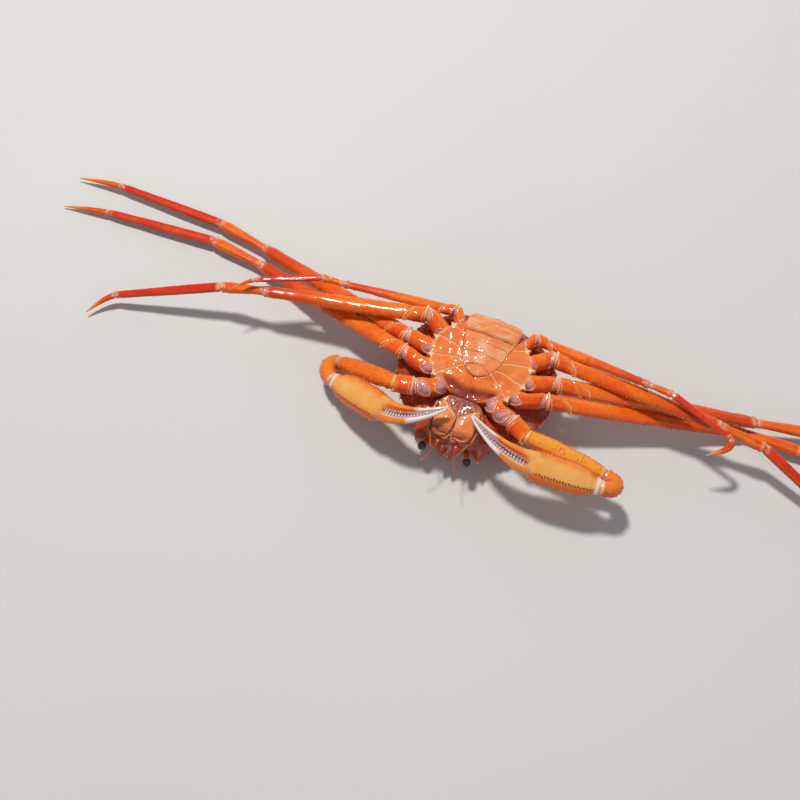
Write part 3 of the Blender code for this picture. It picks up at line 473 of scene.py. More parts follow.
def sweep(controls: Array, rows: int, columns: int, ends: tuple[End, End], power: float = 2.2,
          oblique: tuple[float, float] = (0.0, 0.0), across: Array | None = None) -> Surface:
    """A closed tube: superellipse rings set along a path, |x/a|^p + |y/b|^p = 1 in each ring.

    Args:
        controls: rows of centre, direction, half width and half thickness at the control rings.
        rows: number of rings along the path.
        columns: number of points in a ring.
        ends: how the near and the far end close.
        power: p of the superellipse.
        oblique: slant of the near and the far end, as run per width toward the front edge.
        across: the way the first column faces, where it isn't simply the front.

    Returns:
        The surface, with angle 0 on the front edge and a quarter turn on the upper face.
    """
    steps = np.linalg.norm(np.diff(controls[:, :3], axis=0), axis=1)
    place = np.concatenate([[0.0], np.cumsum(steps)])
    at = np.linspace(0, place[-1], rows)
    fine = through(place, controls, at)
    centre, ahead, size = fine[:, :3], unit(fine[:, 3:6]), fine[:, 6:8]
    low_shares, low_depths = (np.array(row)[::-1, None] for row in ends[0].value)
    high_shares, high_depths = (np.array(row)[:, None] for row in ends[1].value)
    blocks = [(centre[:1] - ahead[:1] * low_depths, ahead[:1].repeat(len(low_depths), 0),
               size[:1] * low_shares,
               np.zeros(len(low_depths)), np.full(len(low_depths), at[0])),
              (centre, ahead, size, np.ones(rows), at),
              (centre[-1:] + ahead[-1:] * high_depths, ahead[-1:].repeat(len(high_depths), 0),
               size[-1:] * high_shares, np.zeros(len(high_depths)), np.full(len(high_depths), at[-1]))]
    centre, ahead, size, hold, at = (np.concatenate(part) for part in zip(*blocks))
    near, far = at, at[-1] - at
    hold = hold * np.clip(near / RELIEF_FADE, 0, 1) * np.clip(far / RELIEF_FADE, 0, 1)
    if across is None:
        over = unit(UP - ahead * ahead[:, 2:3])
        side = np.cross(ahead, over)
        if side[:, 1].mean() > 0:
            side = -side
    else:
        side = unit(across - ahead * (ahead @ across)[:, None])
        over = np.cross(side, ahead)
        if over[:, 2].mean() < 0:
            over = -over
    angle = np.arange(columns) * 2 * math.pi / columns
    angle = np.where(angle > math.pi, angle - 2 * math.pi, angle)
    reach = superellipse(angle, power)
    flat = size[:, :1] * (reach * np.cos(angle))
    tall = size[:, 1:] * (reach * np.sin(angle))
    ring = flat[..., None] * side[:, None] + tall[..., None] * over[:, None]
    slant = (oblique[0] * np.clip(1 - near / SLANT_REACH, 0, 1)
             + oblique[1] * np.clip(1 - far / SLANT_REACH, 0, 1))
    points = centre[:, None] + ring + (slant[:, None] * flat)[..., None] * ahead[:, None]
    return Surface(points, unit(ring), ahead, near[:, None], far[:, None], angle[None, :], hold[:, None])


def tube_faces(rows: int, columns: int) -> tuple[Array, Array]:
    """Faces of a tube of rings whose two further points close its near and its far end.

    Args:
        rows: number of rings.
        columns: number of points in a ring.

    Returns:
        The quads between the rings and the triangles of both fans.
    """
    here, first, last = np.arange(columns), np.arange(rows - 1)[:, None] * columns, (rows - 1) * columns
    after = (here + 1) % columns
    quads = np.stack([first + here, first + after, first + after + columns, first + here + columns], axis=-1)
    low, high = np.full(columns, rows * columns), np.full(columns, rows * columns + 1)
    fans = np.vstack([np.stack([low, after, here], 1), np.stack([high, last + here, last + after], 1)])
    return quads.reshape(-1, 4), fans


class Skin:
    """The points, faces and marks of one piece, gathered from closed surfaces."""

    def __init__(self, name: str) -> None:
        """Start an empty piece.

        Args:
            name: name of the piece.
        """
        self.name = name
        self.points: list[Array] = []
        self.quads: list[Array] = []
        self.triangles: list[Array] = []
        self.marks: list[Array] = []
        self.count = 0

    def add_grid(self, grid: Array, marks: dict[str, Array]) -> None:
        """Add a closed tube: the columns of the grid wrap round, and a fan closes each end.

        Args:
            grid: rows by columns of points.
            marks: amounts by mark name, rows by columns.
        """
        rows, columns = grid.shape[:2]
        points = np.vstack([grid.reshape(-1, 3), grid[0].mean(axis=0), grid[-1].mean(axis=0)])
        table = np.zeros((len(points), len(MARKS)))
        for name, amount in marks.items():
            amount = np.broadcast_to(amount, (rows, columns))
            table[:, MARKS.index(name)] = np.concatenate([amount.ravel(),
                                                          [amount[0].mean(), amount[-1].mean()]])
        self.add(points, *tube_faces(rows, columns), table)

    def add_surface(self, surface: Surface) -> None:
        """Add a swept surface with its relief."""
        self.add_grid(surface.final(), surface.marks)

    def add(self, points: Array, quads: Array, triangles: Array, table: Array) -> None:
        """Add a closed surface, turned so that its faces point out by the sign of its volume.

        Args:
            points: its points.
            quads: its faces with four corners.
            triangles: its faces with three.
            table: amounts of all marks at its points.
        """
        middle = points - points.mean(axis=0)
        volume = 0.0
        for group in (quads[:, [0, 1, 2]], quads[:, [0, 2, 3]], triangles):
            a, b, c = (middle[group[:, k]] for k in range(3))
            volume += float(np.einsum("ij,ij->", a, np.cross(b, c)))
        if volume < 0:
            quads, triangles = quads[:, ::-1], triangles[:, ::-1]
        self.points.append(points)
        self.quads.append(quads + self.count)
        self.triangles.append(triangles + self.count)
        self.marks.append(table)
        self.count += len(points)

    def add_spines(self, roots: Array, ways: Array, lengths: Array, radii: Array, marks: dict[str, float],
                   blunt: float = 0.1) -> None:
        """Add small cones, all at once: radius r(1 - s)^0.8 at share s of the length, root sunk in.

        Args:
            roots: points on the skin.
            ways: directions in which the cones stand.
            lengths: how far each stands out.
            radii: root radius of each.
            marks: amounts by mark name at the tips.
            blunt: radius left at the tip as a share.
        """
        if not len(roots):
            return
        ways = unit(ways)
        side = unit(np.cross(ways, np.array([0.31, 0.52, 0.79])))
        over = np.cross(ways, side)
        share = np.array([0.0, 0.3, 0.6, 0.85, 1.0])
        turn = np.arange(SPINE_SIDES) * 2 * math.pi / SPINE_SIDES
        radius = radii[:, None] * np.maximum((1 - share) ** 0.8, blunt)
        height = (lengths + 0.5)[:, None] * share - 0.5
        ring = np.cos(turn)[:, None] * side[:, None, None] + np.sin(turn)[:, None] * over[:, None, None]
        grids = (roots[:, None, None] + height[..., None, None] * ways[:, None, None]
                 + radius[..., None, None] * ring)
        count, rows, columns = grids.shape[:3]
        points = np.concatenate([grids.reshape(count, -1, 3), grids[:, 0].mean(1)[:, None],
                                 grids[:, -1].mean(1)[:, None]], axis=1)
        table = np.zeros((*points.shape[:2], len(MARKS)))
        rise = np.concatenate([np.repeat(share, columns), [0.0, 1.0]])
        for name, amount in marks.items():
            table[:, :, MARKS.index(name)] = amount * rise
        offsets = np.arange(count)[:, None, None] * points.shape[1]
        quads, fans = tube_faces(rows, columns)
        self.add(points.reshape(-1, 3), (quads + offsets).reshape(-1, 4), (fans + offsets).reshape(-1, 3),
                 table.reshape(-1, len(MARKS)))

    def add_rows(self, surface: Surface, rows: tuple, seed: int, size: float = 1.0) -> None:
        """Add rows of teeth that lean to the far end, each row along one line of a swept surface.

        Args:
            surface: the surface they stand on.
            rows: angle, count, first share, last share, length and root radius of each row.
            seed: start of the first row's random numbers; each later row starts one further on.
            size: what the lengths and radii are multiplied by.
        """
        final = surface.final()
        for k, (angle, count, first, last, length, radius) in enumerate(rows):
            random = np.random.default_rng(seed + k)
            step = (last - first) / max(count, 1)
            at = np.linspace(first, last, count) + random.uniform(-0.3, 0.3, count) * step
            ring = np.clip(np.searchsorted(surface.share[:, 0], at), 1, len(surface.ahead) - 2)
            away = np.abs(turned_from(surface.angle, (angle + random.normal(0, 0.08, count))[:, None]))
            column = np.argmin(away, axis=1)
            grow = random.uniform(0.7, 1.25, count)
            self.add_spines(final[ring, column], surface.out[ring, column] + 0.35 * surface.ahead[ring],
                            length * size * grow, radius * size * grow, {"tip": 0.8, "yellow": 0.5})

    def build(self, finish: str, node: str = "") -> None:
        """Make the object, in metres, with its marks as two colour attributes.

        Args:
            finish: name of its finish, also the record's material slot of the solid it stands for.
            node: the solid that it stands for, if any.
        """
        points = np.vstack(self.points) * MM
        quads, triangles = np.vstack(self.quads), np.vstack(self.triangles)
        mesh = bpy.data.meshes.new(self.name)
        mesh.vertices.add(len(points))
        mesh.vertices.foreach_set("co", points.ravel())
        corners = np.concatenate([quads.ravel(), triangles.ravel()])
        starts = np.concatenate([np.arange(len(quads)) * 4, len(quads) * 4 + np.arange(len(triangles)) * 3])
        mesh.loops.add(len(corners))
        mesh.loops.foreach_set("vertex_index", corners.astype(np.int32))
        mesh.polygons.add(len(starts))
        mesh.polygons.foreach_set("loop_start", starts.astype(np.int32))
        mesh.update(calc_edges=True)
        table = np.vstack(self.marks).astype(np.float32)
        for k, name in enumerate(("marks_a", "marks_b")):
            layer = mesh.attributes.new(name, "FLOAT_COLOR", "POINT")
            layer.data.foreach_set("color", table[:, 4 * k:4 * k + 4].ravel())
        mesh.shade_smooth()
        mesh.materials.append(MATERIALS[finish])
        item = bpy.data.objects.new(self.name, mesh)
        bpy.context.scene.collection.objects.link(item)
        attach(item, "root")
        if node:
            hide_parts(node)
        LOG.info("%s: %d faces, in place of %s", self.name, len(starts), node or "nothing")


# Finishes.
@dataclass(frozen=True)
class Finish:
    """Colours and gloss of one kind of shell; marks in the mesh choose between its colours, and some marks
    paint shade and highlights onto it.
    """

    name: str
    main: Colour
    warm: Colour
    deep: Colour
    tip: Colour
    grain: Colour = (0.72, 0.10, 0.02)
    pale: Colour = (0.95, 0.72, 0.46)
    mauve: Colour = (0.66, 0.30, 0.34)
    dark: Colour = (0.11, 0.018, 0.012)
    spot: Colour = (0.36, 0.03, 0.012)
    yellow: Colour = (0.92, 0.40, 0.035)
    roughness: float = 0.34
    coat: float = 0.8
    translucency: float = 0.10
    pore: float = 0.45

    def material(self) -> bpy.types.Material:
        """Build the procedural material.

        Returns:
            A Principled material driven by Object coordinates and the two mark attributes.
        """
        graph = Graph(self.name)
        broad = graph.noise(55.0, 3.0, 0.55)
        fine = graph.noise(330.0, 4.0, 0.62)
        pores = graph.noise(1500.0, 2.0, 0.5)
        first, grain = graph.marks("marks_a")
        second, yellow = graph.marks("marks_b")
        colour = graph.blend(self.main, self.warm, graph.remap(broad, 0.42, 0.62))
        # The deep colour under the lower mark is in places painted shade, and the dark and pale marks are in
        # places painted shade in creases and painted highlight, as noted where each piece sets them.
        for over, amount in ((self.deep, graph.remap(fine, 0.50, 0.78, 0.75)),
                             (self.deep, graph.scaled(second[1], 0.85)),
                             (self.tip, second[0]), (self.spot, graph.remap(pores, 0.62, 0.72, self.pore)),
                             (self.grain, grain), (self.yellow, yellow), (self.pale, first[0]),
                             (self.mauve, first[1]), (self.spot, second[2]), (self.dark, first[2])):
            colour = graph.blend(colour, over, amount)
        matt = graph.remap(fine, 0.3, 0.75, self.roughness + 0.14, self.roughness - 0.06)
        for name, source in (("Base Color", colour), ("Roughness", matt), ("Specular IOR Level", 0.12),
                             ("Coat Weight", self.coat), ("Coat Roughness", 0.06),
                             ("Subsurface Weight", self.translucency), ("Subsurface Scale", 0.002),
                             ("Normal", graph.relief(pores, 0.2, graph.relief(fine, 0.5)))):
            graph.shader(name, source)
        return graph.material


class Graph:
    """A small builder of node trees for the finishes."""

    def __init__(self, name: str) -> None:
        """Start a material with a Principled shader.

        Args:
            name: name of the material.
        """
        self.material = bpy.data.materials.new(name)
        self.material.use_nodes = True
        self.tree = self.material.node_tree
        self.principled = self.tree.nodes["Principled BSDF"]
        self.coordinates = self.node("TexCoord", {}).outputs["Object"]

    def link(self, source: object, target: Socket) -> None:
        """Join a socket to a target, or set the target to a plain number or colour.

        Args:
            source: a socket, a number or a colour.
            target: the input that it feeds.
        """
        if isinstance(source, Socket):
            self.tree.links.new(source, target)
        else:
            target.default_value = (*source, 1.0) if isinstance(source, tuple) else source

    def node(self, kind: str, inputs: dict[str | int, object], **settings: str) -> bpy.types.Node:
        """Add a node.

        Args:
            kind: its type, without the word that all shader nodes start with.
            inputs: what feeds each named or numbered input.
            settings: its own options, set first.

        Returns:
            The new node.
        """
        node = self.tree.nodes.new(f"ShaderNode{kind}")
        for name, value in settings.items():
            setattr(node, name, value)
        for name, source in inputs.items():
            self.link(source, node.inputs[name])
        return node

    def shader(self, name: str, source: object) -> None:
        """Feed or set one input of the shader."""
        self.link(source, self.principled.inputs[name])

    def noise(self, scale: float, detail: float, roughness: float) -> Socket:
        """Fractal noise on Object coordinates."""
        return self.node("TexNoise", {"Vector": self.coordinates, "Scale": scale, "Detail": detail,
                                      "Roughness": roughness}).outputs["Fac"]

    def marks(self, name: str) -> tuple[tuple, Socket]:
        """The four marks of one mark attribute.

        Args:
            name: name of the attribute.

        Returns:
            The first three marks, and the fourth.
        """
        node = self.node("Attribute", {}, attribute_name=name)
        return tuple(self.node("SeparateColor",
                               {"Color": node.outputs["Color"]}).outputs), node.outputs["Alpha"]

    def remap(self, source: Socket, low: float, high: float, top: float = 1.0,
              bottom: float = 0.0) -> Socket:
        """The source stretched from low..high to bottom..top and held there."""
        return self.node("MapRange", {"Value": source, "From Min": low, "From Max": high, "To Min": bottom,
                                      "To Max": top}).outputs["Result"]

    def scaled(self, source: Socket, factor: float) -> Socket:
        """The source times a number."""
        return self.node("Math", {0: source, 1: factor}, operation="MULTIPLY").outputs[0]

    def blend(self, low: object, high: object, factor: object) -> Socket:
        """A colour between two others by a factor."""
        return self.node("Mix", {"Factor": factor, 6: low, 7: high}, data_type="RGBA").outputs[2]

    def relief(self, height: Socket, strength: float,
               normal: Socket | None = None) -> Socket:
        """A bump of a third of a millimetre.

        Args:
            height: the pattern that raises it.
            strength: how strongly it turns the light, from 0 to 1.
            normal: another bump that it lies over, if any.

        Returns:
            The normal.
        """
        over = {} if normal is None else {"Normal": normal}
        return self.node("Bump", {"Strength": strength, "Distance": 0.0003, "Height": height,
                                  **over}).outputs["Normal"]


FINISHES = (
    Finish("carapace_shell", (0.42, 0.045, 0.010), (0.54, 0.080, 0.015), (0.17, 0.016, 0.007),
           (0.74, 0.17, 0.035), grain=(0.70, 0.14, 0.025), roughness=0.42, coat=0.35),
    Finish("chest_shell", (0.86, 0.187, 0.021), (0.88, 0.245, 0.046), (0.78, 0.125, 0.014),
           (0.88, 0.30, 0.06), grain=(0.80, 0.18, 0.03), mauve=(0.30, 0.05, 0.034), pore=0.3),
    Finish("mouth_field", (0.42, 0.09, 0.045), (0.52, 0.14, 0.065), (0.22, 0.04, 0.024), (0.76, 0.22, 0.05),
           mauve=(0.24, 0.09, 0.10), coat=0.7),
    Finish("limb_orange", (0.93, 0.125, 0.003), (0.95, 0.19, 0.006), (0.60, 0.035, 0.003),
           (0.66, 0.045, 0.004)),
    Finish("limb_deep_orange", (0.91, 0.098, 0.003), (0.93, 0.155, 0.005), (0.55, 0.028, 0.003),
           (0.90, 0.30, 0.02)),
    Finish("limb_red", (0.71, 0.024, 0.003), (0.80, 0.05, 0.004), (0.36, 0.014, 0.004), (0.86, 0.12, 0.006)),
    Finish("palm_yellow", (0.90, 0.27, 0.025), (0.92, 0.36, 0.06), (0.82, 0.13, 0.006), (0.78, 0.075, 0.005),
           pale=(0.92, 0.76, 0.68), mauve=(0.45, 0.25, 0.30), yellow=(0.96, 0.49, 0.135),
           spot=(0.24, 0.02, 0.008), coat=1.0),
    Finish("finger_pale", (0.88, 0.74, 0.68), (0.92, 0.80, 0.74), (0.68, 0.45, 0.42), (0.90, 0.24, 0.015),
           mauve=(0.46, 0.27, 0.32), pale=(0.93, 0.86, 0.82), pore=0.1, roughness=0.26),
    Finish("eye", (0.015, 0.012, 0.012), (0.03, 0.02, 0.018), (0.008, 0.006, 0.006), (0.50, 0.07, 0.015),
           roughness=0.16, coat=1.0, translucency=0.0, pore=0.0),
    Finish("joint_skin", (0.56, 0.17, 0.14), (0.64, 0.25, 0.20), (0.38, 0.08, 0.06), (0.84, 0.34, 0.12),
           coat=0.8, roughness=0.3, translucency=0.2),
)
MATERIALS: dict[str, bpy.types.Material] = {}


# The body.
def shell_underside(x: Array, y: Array, scale: Array) -> Array:
    """Height of the carapace's back over the floor: a flat dome that steepens by scale^5, less its swellings.

    Args:
        x: places across.
        y: places along.
        scale: how far out toward the rim each place lies, from 0 to 1.

    Returns:
        The heights.
    """
    margin = np.interp(y, *zip(*MARGIN_HEIGHTS))
    height = SHELL_DOME + (margin - SHELL_DOME) * scale ** 5
    for cx, cy, radius, drop in SWELLINGS:
        height = height - drop * np.exp(-((x - cx) ** 2 + (y - cy) ** 2) / (2 * radius ** 2))
    return height


def mouth_height(x: Array, y: Array) -> Array:
    """Height of the mouth field's sloping top."""
    return MOUTH_TOP + (y + 29.0) * MOUTH_SLOPE - 0.004 * x ** 2


def abdomen_half_width(y: Array) -> Array:
    """Half width of the folded abdomen where it lies on the sternum."""
    stations = [row for row in ABDOMEN_STATIONS if row[1] > 44][::-1]
    return np.interp(y, [row[0] for row in stations], [row[2] for row in stations], left=0.0)


def slab_grid(outline: Array, centre: tuple[float, float], bottom: float | None, top: object, rim: float,
              rows: int, base: object = None) -> tuple[Array, Array]:
    """A plate with a straight wall and a softly rounded top, on rings that shrink to its centre.

    Args:
        outline: points round the plate.
        centre: the middle of its rings.
        bottom: height of its flat underside, or None where base gives it.
        top: height of its top as a function of x and y.
        rim: how far the top's edge is rounded down.
        rows: number of rings on the top.
        base: height of its underside as a function of x and y.

    Returns:
        The grid of points and, for each row, its share of the outline's size with 2 on the wall.
    """
    centre = np.asarray(centre, dtype=float)
    spokes = outline - centre
    wall = np.full(WALL.stop - WALL.start, 1.0)
    scale = np.concatenate([[0.3, 0.98], wall, 1 - np.linspace(0, 1, rows) ** 1.25 * 0.99])
    flat = centre + spokes[None] * scale[:, None, None]
    x, y = flat[..., 0], flat[..., 1]
    low = np.full_like(x, bottom) if base is None else base(x, y)
    high = top(x, y)
    mm_in = np.linalg.norm(spokes, axis=1)[None] * (1 - scale[:, None])
    rounding = rim * (1 - np.sqrt(np.clip(1 - (1 - np.clip(mm_in / (rim * 1.3), 0, 1)) ** 2, 0, 1)))
    z = high - rounding
    z[:WALL.start] = low[:WALL.start]
    z[WALL] = low[WALL] + (z[WALL.stop] - low[WALL]) * np.linspace(0, 1, len(wall) + 1)[:-1, None]
    kind = np.where(np.arange(len(scale)) < WALL.stop, 2.0, scale)
    return np.dstack([x, y, z]), kind[:, None]


@dataclass
class Carapace:
    """The granular shell whose back rests on the floor."""

    columns: int = 400
    back_rows: int = 126
    wall_rows: int = 33

    def build(self) -> None:
        """Make the shell: a polar grid over its back, its rim, its flanks and the bed of the limbs."""
        flank = np.asarray(SHELL_FLANK, dtype=float)
        half = np.vstack([np.asarray(SHELL_FRONT, dtype=float), flank])
        outline = closed_outline(mirrored(half), self.columns, soft=True) - SHELL_CENTRE
        radius = np.hypot(*outline.T)
        wide = max(3, self.columns // 28)
        smooth = np.mean([np.roll(radius, k) for k in range(-wide, wide + 1)], axis=0)
        heading = outline / radius[:, None]
        scale = np.sin(np.linspace(0.02, 1, self.back_rows) * math.pi / 2)
        scale = 0.35 * np.linspace(0.01, 1, self.back_rows) + 0.65 * scale
        blend = np.clip((1 - scale) * 9, 0, 1)[:, None]
        size = (radius * (1 - blend) + smooth * blend) * scale[:, None]
        flat = heading[None] * size[..., None] + SHELL_CENTRE
        height = shell_underside(flat[..., 0], flat[..., 1], scale[:, None] * np.ones(self.columns))
        step = np.linspace(0, 1, self.wall_rows + 1)[1:, None]
        bed = 0.64 + 0.31 * np.abs(heading[:, 1]) ** 4
        wall_size = (radius * (1 - step) + smooth * step) * (1 - step * (1 - bed))
        wall_flat = heading[None] * wall_size[..., None] + SHELL_CENTRE
        wall_height = height[-1] + (SHELL_HEIGHT - height[-1]) * step ** 0.7
        shrink = np.array([0.9, 0.6, 0.25, 0.05])[:, None]
        bed_flat = heading[None] * (wall_size[-1] * shrink)[..., None] + SHELL_CENTRE
        grid = np.concatenate([np.dstack([flat, height]), np.dstack([wall_flat, wall_height]),
                               np.dstack([bed_flat, np.full(bed_flat.shape[:2], SHELL_HEIGHT)])])
        skin = Skin("carapace_shell")
        skin.add_grid(*self.dress(grid))
        self.add_spines(skin, grid)
        skin.build("carapace_shell", "carapace")

    def dress(self, grid: Array) -> tuple[Array, dict[str, Array]]:
        """Give the shell its grooves, tubercles and fine granules.

        Args:
            grid: the plain grid.

        Returns:
            The grid with relief, and its marks.
        """
        x, y = np.abs(grid[..., 0]), grid[..., 1]
        row = np.arange(len(grid))[:, None]
        back = row < self.back_rows
        groove = np.zeros(x.shape)
        for line in SHELL_GROOVES:
            groove = np.maximum(groove, bump(line_distance(x, y, line), 1.7))
        folded = np.dstack([x, y, grid[..., 2]])
        coarse = grains(folded, 4.4, 5, 0.46) * ramp(-0.5, 0.3, noise(folded, 14.0, 3))
        small = grains(grid, 1.9, 9, 0.5)
        rough = 0.75 * coarse + 0.28 * small + 0.25 * noise(grid, 6.0, 21)
        tilt = np.where(back, -60.0, 14.0) * np.ones(x.shape)
        out = unit(np.dstack([grid[..., 0], grid[..., 1] - SHELL_CENTRE[1], tilt]))
        out[row[:, 0] >= self.back_rows + self.wall_rows] = UP
        fade = np.where(row < self.back_rows + self.wall_rows - 3, 1.0, 0.0)
        lift = (rough - 1.1 * groove * back) * fade
        result = grid + out * lift[..., None]
        uneven = 0.45 * ramp(1.4, 0.2, result[..., 2]) * ramp(-0.25, 0.3, noise(grid, 3.4, 48)) * back
        result[..., 2] = np.maximum(result[..., 2], 0.0) + uneven
        # Dark in the grooves of the back is painted shade.
        marks = {"grain": ramp(0.2, 0.9, np.maximum(coarse, small * 0.6)) * 0.55, "dark": groove * back * 0.4,
                 "pale": 0.5 * ramp(0.55, 1.0, coarse) * fade,
                 "lower": 0.5 * ramp(0.1, 0.9, noise(grid, 22.0, 40)),
                 "mauve": 0.35 * (1 - back) * ramp(0.0, 0.8, noise(grid, 9.0, 44))}
        return result, marks

    def add_spines(self, skin: Skin, grid: Array) -> None:
        """Set spines in rows round both flanks and the front corners.

        Args:
            skin: the piece they join.
            grid: the plain grid of the shell.
        """
        random = np.random.default_rng(7)
        for shift, count, length, radius, rise in RIM_SPINES:
            ring = grid[self.back_rows - 1 + shift]
            picked = np.flatnonzero(ring[:, 1] < 40)
            picked = picked[np.linspace(0, len(picked) - 1, count * 2).astype(int)]
            picked = np.clip(picked + random.integers(-1, 2, len(picked)), 0, self.columns - 1)
            roots = ring[picked]
            ways = np.column_stack([roots[:, 0], roots[:, 1] - 14.0, np.zeros(len(roots))])
            ways = unit(ways) + np.array([0.0, -0.2, rise])
            size = random.uniform(0.6, 1.2, len(roots)) * (1.0 - 0.3 * ramp(0, 40, roots[:, 1]))
            keep = ~((np.abs(roots[:, 0]) < 9) & (roots[:, 1] < -55))
            skin.add_spines(roots[keep], ways[keep], (length * size)[keep], (radius * size)[keep],
                            {"tip": 0.9, "pale": 0.35})


@dataclass
class ChestPlate:
    """The sternum between the limbs, with a seam from each gap between limbs."""

    columns: int = 460
    rows: int = 128

    def outline(self) -> Array:
        """The chest plate from above: a straight edge for each limb and a spur between limbs.

        Returns:
            Evenly spaced points round the plate.
        """
        half = [np.array([0.0, -28.4]), np.array([7.0, -28.4])]
        count = len(LEG_JUNCTIONS) - 1
        for k in range(count):
            a, b = np.array(LEG_JUNCTIONS[k]), np.array(LEG_JUNCTIONS[k + 1])
            edge = unit(b - a)
            start = a + edge * (JUNCTION_HALF if k else 0.0)
            end = b - edge * (JUNCTION_HALF if k < count - 1 else 0.0)
            half.extend([start, (start + end) / 2, end])
            if k < count - 1:
                following = unit(np.array(LEG_JUNCTIONS[k + 2]) - b)
                away = unit(np.array([edge[1] + following[1], -edge[0] - following[0]]))
                half.append(b + away * JUNCTION_SPURS[k])
        half.extend([np.array([12.0, 32.6]), np.array([0.0, 32.8])])
        return closed_outline(mirrored(np.array(half)), self.columns, soft=False)

    def height(self, x: Array, y: Array) -> Array:
        """Height of the plate: a low dome with the abdomen's groove, seams, swollen plates and a hollow.

        Args:
            x: places across.
            y: places along.

        Returns:
            The heights.
        """
        across = np.abs(x)
        beside = across - abdomen_half_width(y)
        groove = ramp(0.7, 0.15, beside)
        rise = 1.5 * ramp(11.0, 0.8, beside) * ramp(-13.5, -7.0, y) * ramp(26, 20, y)
        plain = (STERNUM_TOP + rise - 0.8 * groove - 0.78 * np.clip(y - 23.5, 0, None)
                 - 0.2 * np.clip(-14 - y, 0, None))
        seam = self.seam(across, y)
        swell = 0.55 * (1 - bump(seam, 4.0)) - 0.45 * bump(seam, 0.5) + 0.16 * bump(seam - 1.3, 0.6)
        corner = self.corner(across, y)
        points = at_zero(x, y)
        texture = (0.22 * noise(points, 7.0, 61) + 0.10 * noise(points, 2.6, 62)
                   - 0.14 * grains(points, 3.1, 63, 0.2))
        hollow, lip = self.hollow(x, y)
        wrinkle = (0.45 * np.abs(noise(points * (1.0, 0.55, 1.0), 3.4, 66))
                   + 0.2 * np.abs(noise(points, 1.4, 67)))
        return (plain + swell * (1 - hollow) + 0.35 * bump(corner, 2.2) + texture
                + 0.25 * bump(lip - 0.8, 2.4)
                - hollow * (2.6 - wrinkle) - 1.2 * bump(np.hypot(x - 2.6, y + 22.0), 2.4))

    def corner(self, across: Array, y: Array) -> Array:
        """Distance to the nearest spur between two limbs."""
        return np.min([np.hypot(across - a, y - b) for a, b in LEG_JUNCTIONS[1:5]], axis=0)

    def seam(self, across: Array, y: Array) -> Array:
        """Distance to the nearest seam."""
        return np.min([line_distance(across, y, line) for line in SUTURES], axis=0)

    def hollow(self, x: Array, y: Array) -> tuple[Array, Array]:
        """How far each point lies in the sunken front triangle.

        Args:
            x: places across.
            y: places along.

        Returns:
            An amount from 0 to 1, and the distance behind the front lip.
        """
        line = np.array(FRONT_LIP)
        edge = through(line[:, 0], line[:, 1], np.clip(x, -26, 26).ravel())[:, 0].reshape(x.shape)
        strip = ramp(-0.6, 1.8, 10.6 + 1.15 * np.clip(y + 28.0, -1, 10) - np.abs(x))
        return ramp(-0.4, 5.2, edge - y) * strip, y - edge

    def build(self) -> None:
        """Make the plate as a polar slab."""
        grid, kind = slab_grid(self.outline(), (0.0, 2.0), SHELL_HEIGHT + GAP, self.height, 0.9, self.rows)
        x, y = grid[..., 0], grid[..., 1]
        across = np.abs(x)
        seam = self.seam(across, y)
        corner = self.corner(across, y)
        hollow, lip = self.hollow(x, y)
        edge = np.where(kind > 1, 0.0, ramp(0.955, 0.985, kind))
        wrinkle = np.abs(noise(grid * (1.0, 0.55, 1.0), 3.4, 66))
        marks = {
            "pale": most(0.62 * bump(seam, 0.42) * (1 - hollow), 0.9 * ramp(3.6, 1.2, corner),
                         0.35 * edge * (1 - hollow) * ramp(-26, -22, y),
                         0.08 * ramp(-0.1, 0.5, noise(grid, 8.0, 64)) * (1 - hollow) * (kind <= 1)),
            "yellow": 0.5 * ramp(4.0, 1.5, corner),
            "mauve": ramp(0.08, 0.5, hollow) * (0.78 + 0.3 * noise(grid, 4.0, 68)),
            # Dark in the hollow's creases, in the pit and on the side wall is painted shade.
            "dark": most(hollow * ramp(0.25, 0.0, wrinkle) * 0.35,
                         0.6 * bump(np.hypot(x - 2.6, y + 22.0), 2.2),
                         0.35 * (kind > 1)),
            "lower": most(0.8 * ramp(-2.5, 1.5, -lip), 0.5 * ramp(0.5, -0.5, noise(grid, 11.0, 65))),
            "spot": 0.8 * ramp(0.55, 0.95, grains(grid * (1, 1, 0), 3.1, 63, 0.2)) * (1 - hollow),
        }
        skin = Skin("chest_plate")
        skin.add_grid(grid, marks)
        skin.build("chest_shell", "sternum")


